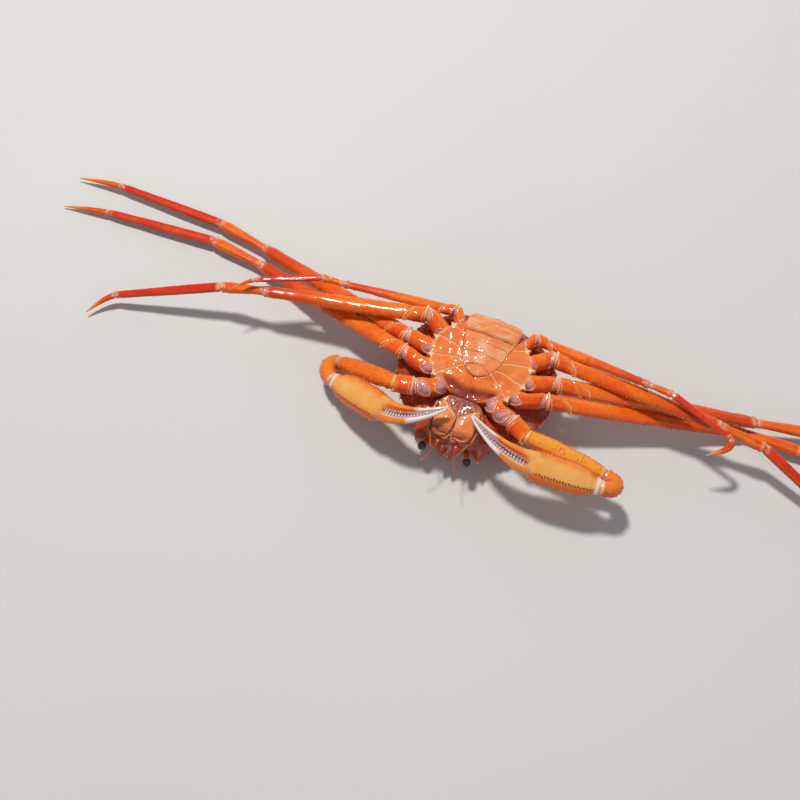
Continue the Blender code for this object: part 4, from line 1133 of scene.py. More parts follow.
@dataclass
class Abdomen:
    """The narrow abdomen folded round the rear edge and forward over the chest."""

    rows: int = 290
    columns: int = 190

    def build(self) -> None:
        """Sweep the abdomen along its folded path and draw its rings, ridges and knobs."""
        stations = np.array(ABDOMEN_STATIONS)
        path = np.column_stack([np.zeros(len(stations)), stations[:, 0], stations[:, 1]])
        slopes = np.gradient(path, axis=0)
        slopes[0] = (0, 0, 1)
        controls = np.column_stack([path, unit(slopes), stations[:, 2], stations[:, 3]])
        steps = np.concatenate([[0.0], np.cumsum(np.linalg.norm(np.diff(path, axis=0), axis=1))])
        at = np.linspace(0, steps[-1], self.rows)
        fine = through(steps, controls, at)
        centre, ahead = fine[:, :3], unit(fine[:, 3:6])
        over = np.cross(ACROSS, ahead)
        angle = np.arange(self.columns) * 2 * math.pi / self.columns
        reach = superellipse(angle, 3.4)
        flat = fine[:, 6:7] * reach * np.cos(angle)
        tall = fine[:, 7:8] * reach * np.sin(angle)
        grid = centre[:, None] + flat[..., None] * ACROSS - tall[..., None] * over[:, None]
        out = -over[:, None] * np.sign(np.sin(angle))[None, :, None] * np.ones(grid.shape)
        face = ramp(0.15, 0.6, -np.sum(out * over[:, None], axis=-1)) * ramp(0.0, 0.35, np.abs(np.sin(angle)))
        x, y, z = grid[..., 0], grid[..., 1], grid[..., 2]
        along = np.where(z < 44.5, y + (44.5 - z) * 1.1, y)
        rim = ramp(0.0, 2.2, fine[:, 6:7] - np.abs(x))
        lift, marks = self.relief(x, along, grid, fine[:, 6:7])
        lift = lift * face * rim
        skin = Skin("abdomen_plates")
        skin.add_grid(grid + out * lift[..., None], {name: amount * face for name, amount in marks.items()})
        random = np.random.default_rng(31)
        count = 26
        across = np.linspace(-17.5, 17.5, count) + random.uniform(-0.4, 0.4, count)
        beads = np.column_stack([across, 36.2 - 0.012 * across ** 2, np.full(count, 42.6)])
        ways = np.column_stack([0.1 * across / 18, np.full(count, 0.5), np.full(count, 1.0)])
        skin.add_spines(beads, ways, random.uniform(0.9, 1.4, count), random.uniform(0.7, 1.0, count),
                        {"pale": 0.6, "tip": 0.4}, 0.45)
        skin.build("chest_shell", "abdomen")

    def relief(self, x: Array, y: Array, grid: Array, half: Array) -> tuple[Array, dict[str, Array]]:
        """Height and marks of the abdomen's upper face.

        Args:
            x: place across.
            y: place along, unrolled at the fold.
            grid: the points.
            half: half width of each row.

        Returns:
            Relief in millimetres and amounts by mark name.
        """
        arch = (x / np.maximum(half, 4.0)) ** 2
        lift = 0.34 * noise(grid, 6.0, 71) + 0.10 * noise(grid, 2.0, 72) - 0.12 * grains(grid, 2.9, 73, 0.2)
        line, ridge = np.zeros(x.shape), np.zeros(x.shape)
        wander = 0.9 * noise(grid * (1, 0, 0) + (0, 7, 0), 6.5, 75) + 0.3 * noise(grid * (1, 0, 0), 2.2, 76)
        for place, bow, depth, swell in ABDOMEN_SEAMS:
            away = y - (place - bow * arch) - wander * (0.4 if place > 20 else 1.0)
            line = most(line, depth * bump(away, 0.42))
            ridge = most(ridge, swell * bump(away - 1.9, 1.5)
                         * (0.75 + 0.5 * noise(grid * (1, 0, 0), 4.0, int(place) + 90)))
        band = ramp(21.3, 23.4, y) * ramp(29.5, 26.5, y) * 0.9
        knob = np.max([bump(np.hypot(x - a, y - b), size) for a, b, size in ABDOMEN_KNOBS], axis=0)
        telson = 1 - np.hypot(x / 8.2, (y + 8.0) / 4.6)
        oval = ramp(-0.05, 0.25, telson)
        moat = bump(telson + 0.05, 0.1)
        keel = bump(x, 5.0) * ramp(-6, 4, y) * 0.35
        lift = lift + 0.72 * ridge - 0.5 * line + band + 0.5 * knob + 0.6 * oval - 0.5 * moat + keel
        # Dark in the telson's groove, on one side only, is painted shade; the pale tops of ridges and knobs
        # are partly their own paler colour and partly painted highlight.
        marks = {"dark": most(line * (0.16 + 0.5 * ramp(-0.2, 0.6, noise(grid, 6.0, 77))),
                                    0.45 * moat * ramp(3, -3, x + y + 6)),
                 "pale": most(0.46 * ridge, 0.5 * knob, 0.12 + 0.24 * ramp(-0.1, 0.5, noise(grid, 7.0, 78))),
                 "lower": 0.35 * bump(y + 3.4, 3.0) + 0.45 * line,
                 "spot": 0.8 * ramp(0.5, 0.9, grains(grid, 2.9, 73, 0.2)), "tip": 0.25 * band + 0.3 * knob}
        return lift, marks


@dataclass
class Mouth:
    """The sunken mouth field, the two plates that close it, their palps and the feelers."""

    def build(self) -> None:
        """Make the field, the plates, the palps, the eyes and the antennae."""
        self.build_field()
        for side, flip in SIDES.items():
            self.build_plate(side, flip)
            self.build_eye(side, flip)
            self.build_antenna(side, flip)
        self.build_palps()

    def build_field(self) -> None:
        """The brown wrinkled field in front of the chest."""
        def folds(x: Array, y: Array) -> Array:
            """The folds that run to the gap between the plates, from noise drawn out along the animal.

            Args:
                x: places across.
                y: places along.

            Returns:
                Heights from 0 to 1.
            """
            points = at_zero(x, y)
            bent = points + 1.2 * noise(points, 5.0, 80)[..., None]
            return np.abs(noise(bent * (1.0, 0.5, 1.0), 2.4, 81))

        def top(x: Array, y: Array) -> Array:
            """Height of the field with its folds and its hollow middle."""
            middle = ramp(1.0, 0.0, np.abs(x) / (3.0 + (y + 40) * 0.9 * (y > -40))) * ramp(-44, -36, y)
            return mouth_height(x, y) + 0.45 * folds(x, y) - 0.5 * middle - 0.1

        outline = closed_outline(mirrored(MOUTH_OUTLINE), 260, soft=True)
        grid, kind = slab_grid(outline, (0, -44), SHELL_HEIGHT + GAP, top, 0.9, 90)
        grid[WALL] += self.skirt(grid[WALL])
        x, y = grid[..., 0], grid[..., 1]
        fold = folds(x, y)
        strip = ramp(2.5, 5.0, np.abs(x) - (8.6 - 0.75 * (-29 - y))) * ramp(-37, -33, y)
        turned = np.arctan2(x, -26.0 - y) + 0.12 * noise(grid, 5.0, 84)
        rays = ramp(0.80, 1.0, np.cos(turned * 15)) * ramp(-44, -40, y) * ramp(-29, -33, y)
        # Dark in the folds' troughs and the deep colour on the side wall are painted shade.
        marks = {"mauve": 0.6 * ramp(7, 1, np.hypot(x - 1, y + 29)) + 0.2 * ramp(0.5, 0.2, fold),
                 "dark": 0.3 * ramp(0.12, 0.0, fold), "tip": most(0.5 * strip, 0.22 * ramp(-33, -38, y)),
                 "pale": 0.35 * rays, "lower": 0.4 * 1.0 * (kind > 1)}
        skin = Skin("mouth_skin")
        skin.add_grid(grid, marks)
        skin.build("mouth_field", "mouth_field")

    def skirt(self, wall: Array) -> Array:
        """How far the wall under the field swells outward: most at its foot and in front, in upright folds.

        Args:
            wall: the rows of the wall from its foot to its top.

        Returns:
            The shift of each of its points.
        """
        out = unit((wall - (0.0, -44.0, 0.0)) * (1, 1, 0))
        turned = np.arctan2(out[..., 0], -out[..., 1])
        foot = np.linspace(1, 0, len(wall))[:, None] ** 1.3
        amount = foot * (0.5 + 2.6 * ramp(0.1, 0.9, -out[..., 1])) * (1 + 0.14 * np.cos(turned * 26))
        return out * amount[..., None]

    def build_plate(self, side: str, flip: int) -> None:
        """One quadrangular plate with a cream edge and two shallow furrows.

        Args:
            side: left or right.
            flip: sign of the side.
        """
        corners = np.array(MOUTH_PLATE_OUTLINE, dtype=float) * (flip, 1)
        seam = tuple((flip * a, b) for a, b in ((0.6, -52.6), (7.0, -54.2), (14.6, -53.2)))
        inner = tuple((flip * a, b) for a, b in MOUTH_PLATE_OUTLINE[:3])

        def base(x: Array, y: Array) -> Array:
            """Height of the plate's underside."""
            return mouth_height(x, y) + GAP

        def top(x: Array, y: Array) -> Array:
            """Height of the plate's top: a soft dome with its furrows.

            Args:
                x: places across.
                y: places along.

            Returns:
                The heights.
            """
            points = at_zero(x, y)
            dome = 1.5 * (1 - ((x - flip * 7.8) / 7.6) ** 2 - 0.5 * ((y + 46.0) / 12.0) ** 2)
            return (mouth_height(x, y) + MOUTH_PLATE_THICKNESS - 1.5 + dome + 0.3 * noise(points, 5.0, 91)
                    - 0.3 * bump(line_distance(x, y, seam), 0.45) - 0.7 * ramp(-53.4, -55.4, y))

        outline = closed_outline(corners, 200, soft=True)
        grid, kind = slab_grid(outline, tuple(corners.mean(axis=0)), None, top, 1.4, 60, base)
        x, y = grid[..., 0], grid[..., 1]
        edge = np.where(kind > 1, 0.0, ramp(0.84, 0.97, kind))
        bloom = 0.15 + 0.15 * noise(grid, 3.5, 96)
        marks = {"pale": most(0.9 * bump(line_distance(x, y, inner) - 0.4, 0.45), bloom) * (kind <= 1),
                 "yellow": 0.25 * edge, "tip": 0.2 * ramp(0.2, 0.8, noise(grid, 6.0, 95)),
                 # Dark on the side wall and along the furrow is painted shade.
                 "dark": most(0.5 * (kind > 1), 0.2 * bump(line_distance(x, y, seam), 0.4)),
                 "mauve": 0.75 * ramp(-53.0, -55.5, y), "lower": 0.15 * ramp(3, 12, np.abs(x))}
        skin = Skin(f"mouth_plate_{side}_shell")
        skin.add_grid(grid, marks)
        random = np.random.default_rng(41)
        count = 22
        at = np.linspace(0.06, 0.94, count)
        hairs = np.column_stack([np.interp(at, (0, 0.5, 1), (0.8, 7.0, 13.2)) * flip,
                                 np.interp(at, (0, 0.5, 1), (-45.2, -40.2, -35.4)), np.zeros(count)])
        hairs[:, 2] = mouth_height(hairs[:, 0], hairs[:, 1]) + 3.2
        ways = np.column_stack([np.full(count, -0.55 * flip), np.full(count, 0.9),
                                random.uniform(-0.1, 0.4, count)])
        skin.add_spines(hairs, ways, random.uniform(0.7, 1.3, count), np.full(count, 0.35),
                        {"yellow": 0.7, "pale": 0.5})
        skin.build("chest_shell", f"mouth_plate_{side}")

    def build_palps(self) -> None:
        """The outer rods and the jointed palps beside and before the mouth plates, as one piece."""
        skin = Skin("mouth_palps")
        places, t = np.array([0.0, 0.5, 1.0]), np.linspace(0, 1, 12)
        for flip in SIDES.values():
            for points, sizes in PALPS:
                path = np.array(points) * (flip, 1, 1)
                centre = through(places, path, t)
                slope = np.gradient(centre, axis=0)
                size = through(places, np.array(sizes), t)
                controls = np.column_stack([centre, unit(slope), size, size * 0.8])
                surface = sweep(controls, 34, 20, (End.POINT, End.POINT))
                surface.relief(0.12 * noise(surface.points, 1.6, 99))
                surface.mark("tip", 0.5 * surface.share)
                skin.add_surface(surface)
        skin.build("mouth_field")

    def build_eye(self, side: str, flip: int) -> None:
        """One stalked eye: an orange stalk and a dark, finely faceted cap.

        Args:
            side: left or right.
            flip: sign of the side.
        """
        along = unit((flip * 0.35, -0.9, -0.1))
        root = np.array([flip * EYE_PLACE[0], rear_face(f"eye_{side}"), EYE_PLACE[1]])
        controls = np.array([[*(root + along * place), *along, size, size] for place, size in EYE_SIZES])
        surface = sweep(controls, 60, 48, (End.HEAD, End.POINT), 2.0)
        surface.relief(0.06 * grains(surface.points, 0.7, 15, 0.5) * ramp(4.6, 5.6, surface.low))
        surface.mark("tip", ramp(5.2, 4.4, surface.low))
        skin = Skin(f"eye_{side}_ball")
        skin.add_surface(surface)
        skin.build("eye", f"eye_{side}")

    def build_antenna(self, side: str, flip: int) -> None:
        """One antenna with a stout stem and a ringed lash.

        Args:
            side: left or right.
            flip: sign of the side.
        """
        root = np.array([flip * ANTENNA_ROOT[0], ANTENNA_ROOT[1] - GAP, ANTENNA_ROOT[2]])
        tip = np.array([flip * ANTENNA_TIP[0], *ANTENNA_TIP[1:]])
        t = np.linspace(0, 1, 24)
        size = through([row[0] for row in ANTENNA_SIZES], [row[1] for row in ANTENNA_SIZES], t)
        controls = bent(root, (0, -8, 0), tip, (flip * 4, -6, -2), t, np.hstack([size, size]))
        surface = sweep(controls, 150, 24, (End.HEAD, End.POINT), 2.0)
        surface.relief(-0.3 * size.max() * ramp(0.0, 0.1, surface.share) * ramp(1.0, 0.6, surface.share))
        stem = surface.share < 0.36
        surface.relief(np.where(stem, 0.0, 0.07) * np.cos(surface.low * 2 * math.pi / 1.1)
                       - 0.3 * bump(surface.share - 0.18, 0.02) - 0.25 * bump(surface.share - 0.34, 0.02))
        surface.mark("pale", 0.7 * bump(surface.share - 0.18, 0.02))
        surface.mark("tip", 0.5 * surface.share)
        skin = Skin(f"antenna_{side}_lash")
        skin.add_surface(surface)
        skin.build("limb_red", f"antenna_{side}")


def rear_face(node: str) -> float:
    """The rearmost place along Y of a solid, in millimetres, where it meets the wall behind it."""
    return max(corner[1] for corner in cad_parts[node].bound_box) / MM


# Limbs.
def bay(side: str, leg: int) -> tuple[Array, Array]:
    """The sternum's edge for one limb.

    Args:
        side: left or right.
        leg: number of the leg, or 0 for the claw.

    Returns:
        The edge's middle and the normal that leaves it.
    """
    a, b = np.array(LEG_JUNCTIONS[leg]), np.array(LEG_JUNCTIONS[leg + 1])
    edge, flip = unit(b - a), np.array([SIDES[side], 1.0])
    return (np.array([*((a + b) / 2 * flip), LEG_ROOT_HEIGHT]),
            np.array([*(np.array([edge[1], -edge[0]]) * flip), 0.0]))


def straight(start: Array, end: Array, profile: tuple, width: float, first: Array, last: Array) -> Array:
    """Control rings of a straight segment.

    Args:
        start: its near end.
        end: its far end.
        profile: rows of place from 0 to 1, width and thickness as shares.
        width: the width that the shares are of.
        first: direction square to the first ring.
        last: direction square to the last ring.

    Returns:
        Rows of centre, direction, half width and half thickness.
    """
    square = {0.0: first, 1.0: last}
    own = unit(end - start)
    return np.array([[*(start + (end - start) * place), *square.get(place, own), width * wide / 2,
                      width * thick / 2]
                     for place, wide, thick in profile])


@dataclass
class Limb:
    """What every limb shares: its base on the chest plate and its joint skins."""

    side: str
    name: str
    seed: int
    skins: Skin = field(init=False)

    def __post_init__(self) -> None:
        """Start the piece that gathers the limb's joint skins."""
        self.skins = Skin(f"{self.name}_joint_skins")

    def noise(self, s: Surface, size: float, shift: int = 0) -> Array:
        """Soft noise from -1 to 1 on a surface, by the limb's own seed."""
        return noise(s.points, size, self.seed + shift)

    def grains(self, s: Surface, spacing: float, shift: int, fill: float = 0.42) -> Array:
        """Rounded grains from 0 to 1 on a surface, by the limb's own seed."""
        return grains(s.points, spacing, self.seed + shift, fill)

    def shell(self, s: Surface, part: str) -> Skin:
        """Start the piece of one segment.

        Args:
            s: the segment's surface.
            part: the segment's own name.

        Returns:
            The piece, with the surface added.
        """
        skin = Skin(f"{self.name}_{part}_shell")
        skin.add_surface(s)
        return skin

    def build_base(self, root: Array, normal: Array, joints: list, last: Array, width: float, slant: float,
                   membrane_size: tuple[float, float]) -> None:
        """The coxa from the chest plate to its waist, then the short ischium.

        Args:
            root: where the limb leaves the chest plate.
            normal: the way out of the plate.
            joints: the waist and the ischium's end.
            last: direction square to the end ring.
            width: width of the base.
            slant: slant of the ischium's end toward the front.
            membrane_size: length of the root's skin in mm for a base of middling width, and its half width in
                radians. The claw's base, whose slant is 0, has a second patch of skin.
        """
        claw = slant == 0.0
        waist_point, end_point = joints
        on = unit(end_point - waist_point)
        start = root + normal * GAP
        span = np.linalg.norm(waist_point - start)
        waist = unit(unit(waist_point - root) + on)
        points, _ = curve(start, normal * span * 0.3, waist_point, waist * span * 0.3,
                          [r[0] for r in COXA_PROFILE])
        rows = [[*p, *(normal * (1 - t) + waist * t), width * w / 2, width * k / 2]
                for p, (t, w, k) in zip(points, COXA_PROFILE)]
        rows += [[*(waist_point + (end_point - waist_point) * t), *(last if t == 1.0 else on), width * w / 2,
                  width * k / 2]
                 for t, w, k in ISCHIUM_PROFILE]
        controls = np.array(rows)
        waist_mm = float(np.sum(np.linalg.norm(np.diff(points, axis=0), axis=1)))
        s = sweep(controls, 132, 100, (End.HEAD, End.SOCKET), 2.3, (0.0, slant))
        d = s.low - waist_mm
        rear_up = bump(turned_from(s.angle, 2.3), 0.35)
        size = width / 12.8
        wrapped = np.abs(turned_from(s.angle, 0.0))
        fan = size * (0.9 + (4.6 if claw else 4.2) * bump(turned_from(s.angle, 0.6), 1.75))
        fold_at = (d - 0.9 * size + 0.35 * self.noise(s, 3.4, 4)) / fan + 1
        zone = ramp(-0.06, 0.05, fold_at) * ramp(1.06, 0.98, fold_at)
        pleats = np.cos(fold_at * 2 * math.pi * 4)
        rear = ramp(0.6, 2.0, wrapped)
        past = (fold_at - 1) * fan
        collar = bump(past - 0.55, 0.4 + 0.35 * rear) * (0.8 + 0.4 * self.noise(s, 2.6, 5))
        second = bump(past - 2.4 * size, 0.3) * ramp(1.9, 1.2, wrapped)
        long, wide = membrane_size
        turned = np.abs(turned_from(s.angle, 0.75)) / wide
        corner_at = 1 - (np.abs(s.low / (long * size)) ** 1.35 + turned ** 1.35) ** (1 / 1.35)
        if claw:
            turned = turned_from(s.angle, 0.95) / 0.95
            corner_at = most(corner_at, 1 - np.hypot((d + 5.2 * size) / (3.2 * size), turned))
        corner_at = corner_at + 0.08 * self.noise(s, 2.6, 9)
        membrane = ramp(0.0, 0.14, corner_at)
        knuckle = rear_up * bump(d - 0.6, 1.9)
        s.relief(0.65 * collar + 0.3 * second - zone * (0.75 - 0.22 * pleats) + 1.3 * knuckle
                 - membrane * (0.75 + 0.10 * np.cos(s.angle * 40)) + 0.3 * bump(corner_at, 0.09))
        s.relief(0.40 * self.noise(s, 6.0) + 0.16 * self.noise(s, 2.6, 7)
                 + 0.06 * self.grains(s, 2.0, 1))
        tail = ramp(3.6, 0.4, s.high) * (0.5 + 0.5 * s.front)
        stripes = ramp(-0.3, 0.9, np.cos(s.angle * 26 + 2.5 * self.noise(s, 2.6, 8)))
        s.mark("mauve", most(0.42 * zone * ramp(0.9, -0.3, pleats), membrane * (0.9 - 0.3 * stripes)))
        s.mark("pale", most(collar, 0.6 * second, 0.95 * zone * ramp(0.0, 0.8, pleats) * (0.75 + 0.5 * rear),
                            0.6 * knuckle,
                            0.5 * bump(s.low, 0.7), 0.5 * membrane * stripes,
                            0.7 * bump(corner_at - 0.01, 0.06)))
        # Painted light: yellow toward the rear side. Painted shade: deep red toward the front side, and deep
        # and dark in the pleats' troughs; the deep red on the side facing the floor is partly the darker
        # dorsal colour and partly painted shade.
        s.mark("yellow", most(knuckle, 0.6 * tail, 0.5 * rear_up * bump(s.low - 1, 2.0),
                              0.38 * ramp(0.1, -0.9, s.front)))
        s.mark("lower", most(ramp(0.2, -0.9, s.upper), 0.55 * ramp(0.45, 0.95, s.front),
                             0.6 * zone * ramp(0.5, -0.6, pleats)))
        s.mark("dark", 0.35 * zone * ramp(-0.5, -1.0, pleats) * ramp(2.2, 1.2, wrapped))
        s.mark("grain", 0.35 * self.grains(s, 2.0, 1) * (1 - zone))
        skin = self.shell(s, "base")
        final = s.final()
        skin.add_spines(np.array([final[-7, 0], final[-9, 4]]),
                        np.array([s.ahead[-8] + 0.35 * s.out[-8, 0]] * 2),
                        np.array([2.6, 1.4]) * size, np.array([1.5, 1.0]) * size,
                        {"yellow": 0.8, "pale": 0.5})
        rim = np.arange(3, 46, 5)
        skin.add_spines(final[-10, rim], s.out[-10, rim] + 0.5 * s.ahead[-10], np.full(len(rim), 0.55 * size),
                        np.full(len(rim), 0.6 * size), {"yellow": 0.5, "pale": 0.3}, 0.5)
        skin.build("limb_deep_orange", f"{self.name}_base")
        self.cuff(start - normal * 0.6, normal, controls[0, 6] * 1.02, controls[0, 7] * 0.98, 2.4)

    def cuff(self, centre: Array, ahead: Array, wide: float, thick: float, length: float) -> None:
        """A pleated ring of soft skin round a joint: radius swells by a cosine of the place along it.

        Args:
            centre: middle of the ring.
            ahead: the way the limb runs there.
            wide: half width.
            thick: half thickness.
            length: length along the limb.
        """
        ahead = unit(ahead)
        rows = [[*(centre + ahead * length * t), *ahead, wide * k, thick * k]
                for t, k in ((-0.5, 0.9), (-0.25, 0.99), (0.0, 0.95), (0.25, 0.99), (0.5, 0.9))]
        s = sweep(np.array(rows), 20, 36, (End.HEAD, End.HEAD))
        wave = np.cos(s.low * 2 * math.pi / PLEAT)
        s.relief(0.12 * wave + 0.06 * np.cos(s.angle * 23))
        s.mark("pale", 0.22 * (0.5 + 0.5 * wave))
        self.skins.add_surface(s)

    def joint(self, point: Array, before: Array, after: Array, wide: float, thick: float) -> None:
        """A cuff of skin and two pale hinge knobs at a joint.

        Args:
            point: the joint.
            before: direction of the segment before it.
            after: direction of the segment after it.
            wide: half width of the segment after it.
            thick: half thickness of the segment after it.
        """
        ahead = unit(before + after)
        self.cuff(point, ahead, wide * 1.04, thick * 1.04, min(4.2, wide * 1.3))
        side = unit(np.cross(ahead, UP))
        for flip in (-1, 1):
            centre = point + side * flip * wide * 0.82 + ahead * 0.2
            radius = wide * 0.27
            rows = [[*(centre + ahead * radius * 1.5 * t), *ahead, radius * k, radius * k * 0.9]
                    for t, k in zip(np.linspace(-1, 1, 7), (0.15, 0.55, 0.85, 1.0, 0.85, 0.55, 0.15))]
            s = sweep(np.array(rows), 14, 16, (End.POINT, End.POINT), 2.0)
            s.mark("tip", 0.55)
            self.skins.add_surface(s)


@dataclass
class WalkingLeg(Limb):
    """One walking leg from the chest plate to its tip."""

    leg: int = 1

    def joints(self) -> list:
        """The leg's joints.

        Returns:
            The points from the sternum to the tip, with the ischium's end as the third.
        """
        root, _ = bay(self.side, self.leg)
        points = [root]
        for length, (turn, lift) in zip(LEG_LENGTHS[self.leg], LEG_POSE[self.side, self.leg]):
            points.append(points[-1] + length * outward(self.side, turn, lift))
        run = unit(points[2] - points[1])
        points.insert(2, points[1] + ISCHIUM_LENGTHS[self.leg] * run)
        return points

    def build(self) -> None:
        """Make the base, merus, carpus, propodus and dactyl, then the joint skins."""
        joints = self.joints()
        runs = [unit(b - a) for a, b in zip(joints[:-1], joints[1:])]
        planes = [unit(a + b) for a, b in zip(runs[1:-1], runs[2:])]
        curl = CURLED_TIPS.get((self.side, self.leg))
        if curl is not None:
            turn = math.radians(curl)
            planes[-1] = unit(runs[-2] * math.cos(turn) + runs[-1] * math.sin(turn))
        width = LEG_WIDTHS[self.leg]
        half = GAP / 2
        root, normal = bay(self.side, self.leg)
        self.build_base(root, normal, [joints[1], joints[2] - planes[0] * half], planes[0],
                        BASE_WIDTHS[self.leg],
                        MERUS_SLANT, (ROOT_SKINS[self.leg], 0.75))
        for k, (part, build) in enumerate((("merus", self.merus), ("carpus", self.carpus),
                                           ("propodus", self.propodus))):
            controls = straight(joints[k + 2] + planes[k] * half, joints[k + 3] - planes[k + 1] * half,
                                PROFILES[part], width, planes[k], planes[k + 1])
            build(controls, np.linalg.norm(controls[-1, :3] - controls[0, :3]))
            if k:
                self.joint(joints[k + 2], runs[k + 1], runs[k + 2], controls[0, 6], controls[0, 7])
        self.dactyl(joints, runs, planes, width)
        self.skins.build("joint_skin")

    def merus(self, controls: Array, length: float) -> None:
        """The long flat segment, smooth above, with toothed edges.

        Args:
            controls: its control rings.
            length: its length.
        """
        s = sweep(controls, int(length * 1.9), 76, (End.HEAD, End.SOCKET), 2.3,
                  (MERUS_SLANT, 0.0))
        far = ramp(7.0, 1.0, s.high)
        edge = np.abs(s.front) ** 6
        reach = 11.0 if (self.side, self.leg) == ("right", 2) else 1.6
        lobe = (0.3 + reach * ramp(-1.0, 1.0, np.cos(s.angle - 0.2)) ** 1.6 - s.low
                + 0.5 * self.noise(s, 3.0, 17))
        near = ramp(-0.2, 0.3, lobe)
        grain = self.grains(s, 2.3, 2, 0.4)
        fine = self.grains(s, 1.25, 3, 0.42)
        s.relief(0.10 * self.noise(s, 9.0) + (0.07 + 0.28 * edge) * grain + 0.10 * fine * (0.3 + edge))
        for middle in (0.62, 2.52):
            s.relief(-0.22 * bump(s.angle - middle, 0.16) * ramp(0, 20, s.low))
        s.relief(0.28 * near - 0.35 * bump(lobe + 0.35, 0.35) + 0.2 * bump(lobe - 1.0, 0.9)
                 + 0.45 * bump(s.high - 1.6, 1.3) - 0.35 * bump(s.high - 5.2, 1.4)
                 + 0.32 * noise(s.points * (0.5, 1, 1), 8.0, self.seed + 4) + 0.10 * self.noise(s, 3.0, 16))
        # Deep red on the side facing the floor is partly the darker dorsal colour and partly painted shade;
        # the pale far end on the upper side is partly pale joint and partly painted highlight; yellow toward
        # the rear side near the base is painted light.
        s.mark("lower", most(ramp(0.55, -0.35, s.upper), 0.5 * edge, 0.4 * bump(lobe + 0.9, 0.9)))
        s.mark("pale", most(0.9 * bump(lobe - 0.2, 0.5) * (0.7 + 0.5 * self.noise(s, 2.0, 18)),
                            0.55 * far * ramp(-0.2, 0.7, s.upper)
                                  * (0.5 + 0.7 * self.noise(s, 2.2, 5))))
        s.mark("yellow", most(0.3 * ramp(0.1, -0.9, s.front) * ramp(0.6, 0.2, s.share),
                              near * 0.7 * ramp(2.6, 0.4, lobe) * ramp(0.2, 0.9, s.front)))
        s.mark("mauve", 0.35 * far * ramp(0.0, 0.6, self.noise(s, 3.0, 15)))
        s.mark("tip", 0.85 * ramp(0.35, 0.95, s.share))
        s.mark("grain", (0.45 * grain + 0.3 * fine) * (0.25 + 0.75 * edge))
        s.mark("spot", 0.7 * ramp(0.7, 1.0, self.grains(s, 4.6, 6, 0.16)) * (1 - far))
        skin = self.shell(s, "merus")
        teeth = int(length / 3.1)
        size = 1.0 if self.leg < 4 else 0.6
        front = 1.0 if self.leg == 1 else 0.8
        skin.add_rows(s,
                      ((0.0, teeth, 0.05, 0.96, 1.15 * front, 0.75), (math.pi, teeth, 0.05, 0.96, 0.9, 0.65),
                          (0.3, teeth // 2, 0.08, 0.9, 0.5, 0.5), (-0.35, teeth, 0.05, 0.95, 0.7, 0.55),
                          (-2.8, teeth, 0.05, 0.95, 0.7, 0.55)), self.seed + 7, size)
        skin.build("limb_orange", f"{self.name}_merus")

    def carpus(self, controls: Array, length: float) -> None:
        """The short segment with two low keels.

        Args:
            controls: its control rings.
            length: its length.
        """
        s = sweep(controls, int(length * 2.4), 64, (End.HEAD, End.SOCKET), 2.3)
        fine = self.grains(s, 1.5, 12, 0.42)
        keel = most(bump(s.angle - 1.1, 0.22), bump(s.angle - 2.2, 0.22))
        s.relief(0.12 * self.noise(s, 5.0, 13) + 0.16 * fine + 0.3 * keel * ramp(0.0, 0.3, s.share)
                 + 0.3 * bump(s.low - 1.4, 1.2) + 0.4 * bump(s.high - 1.5, 1.2)
                 - 0.3 * bump(s.high - 4.4, 1.2))
        self.leg_marks(s, fine, keel)
        skin = self.shell(s, "carpus")
        skin.add_rows(s, [(angle, int(length / 3.4), 0.1, 0.92, 0.55, 0.5) for angle in (0.0, math.pi, -0.9)],
                      self.seed + 14)
        skin.build("limb_deep_orange", f"{self.name}_carpus")

    def propodus(self, controls: Array, length: float) -> None:
        """The slender red segment with fine rows of grains.

        Args:
            controls: its control rings.
            length: its length.
        """
        s = sweep(controls, int(length * 1.8), 56, (End.HEAD, End.SOCKET), 2.3)
        fine = self.grains(s, 1.35, 18, 0.4)
        keel = most(bump(s.angle - 0.75, 0.2), bump(s.angle - 2.4, 0.2))
        s.relief(0.10 * self.noise(s, 7.0, 19) + 0.14 * fine + 0.22 * keel
                 + 0.35 * bump(s.low - 2.2, 1.6) + 0.35 * bump(s.high - 1.2, 1.0)
                 - 0.25 * bump(s.high - 3.8, 1.2))
        self.leg_marks(s, fine, keel)
        skin = self.shell(s, "propodus")
        skin.add_rows(s, [(angle, int(length / 3.8), 0.06, 0.94, 0.45, 0.42) for angle in (0.0, math.pi)],
                      self.seed + 20)
        skin.build("limb_red", f"{self.name}_propodus")

    def leg_marks(self, s: Surface, fine: Array, keel: Array) -> None:
        """Marks that the carpus and the propodus share.

        Args:
            s: the surface.
            fine: its fine grains.
            keel: its keels.
        """
        near, far = ramp(5.0, 0.8, s.low), ramp(5.0, 0.8, s.high)
        # Deep red on the side facing the floor is partly the darker dorsal colour and partly painted shade;
        # the pale ends on the upper side are partly pale joint and partly painted highlight.
        s.mark("lower", ramp(0.5, -0.4, s.upper))
        ends = most(near, far) * ramp(-0.3, 0.8, s.upper)
        s.mark("pale", 0.6 * ends * (0.45 + 0.7 * self.noise(s, 2.0)))
        s.mark("mauve", 0.4 * ends * ramp(0.0, 0.5, self.noise(s, 2.6, 25)))
        s.mark("tip", 0.35 * keel)
        s.mark("grain", 0.4 * fine)

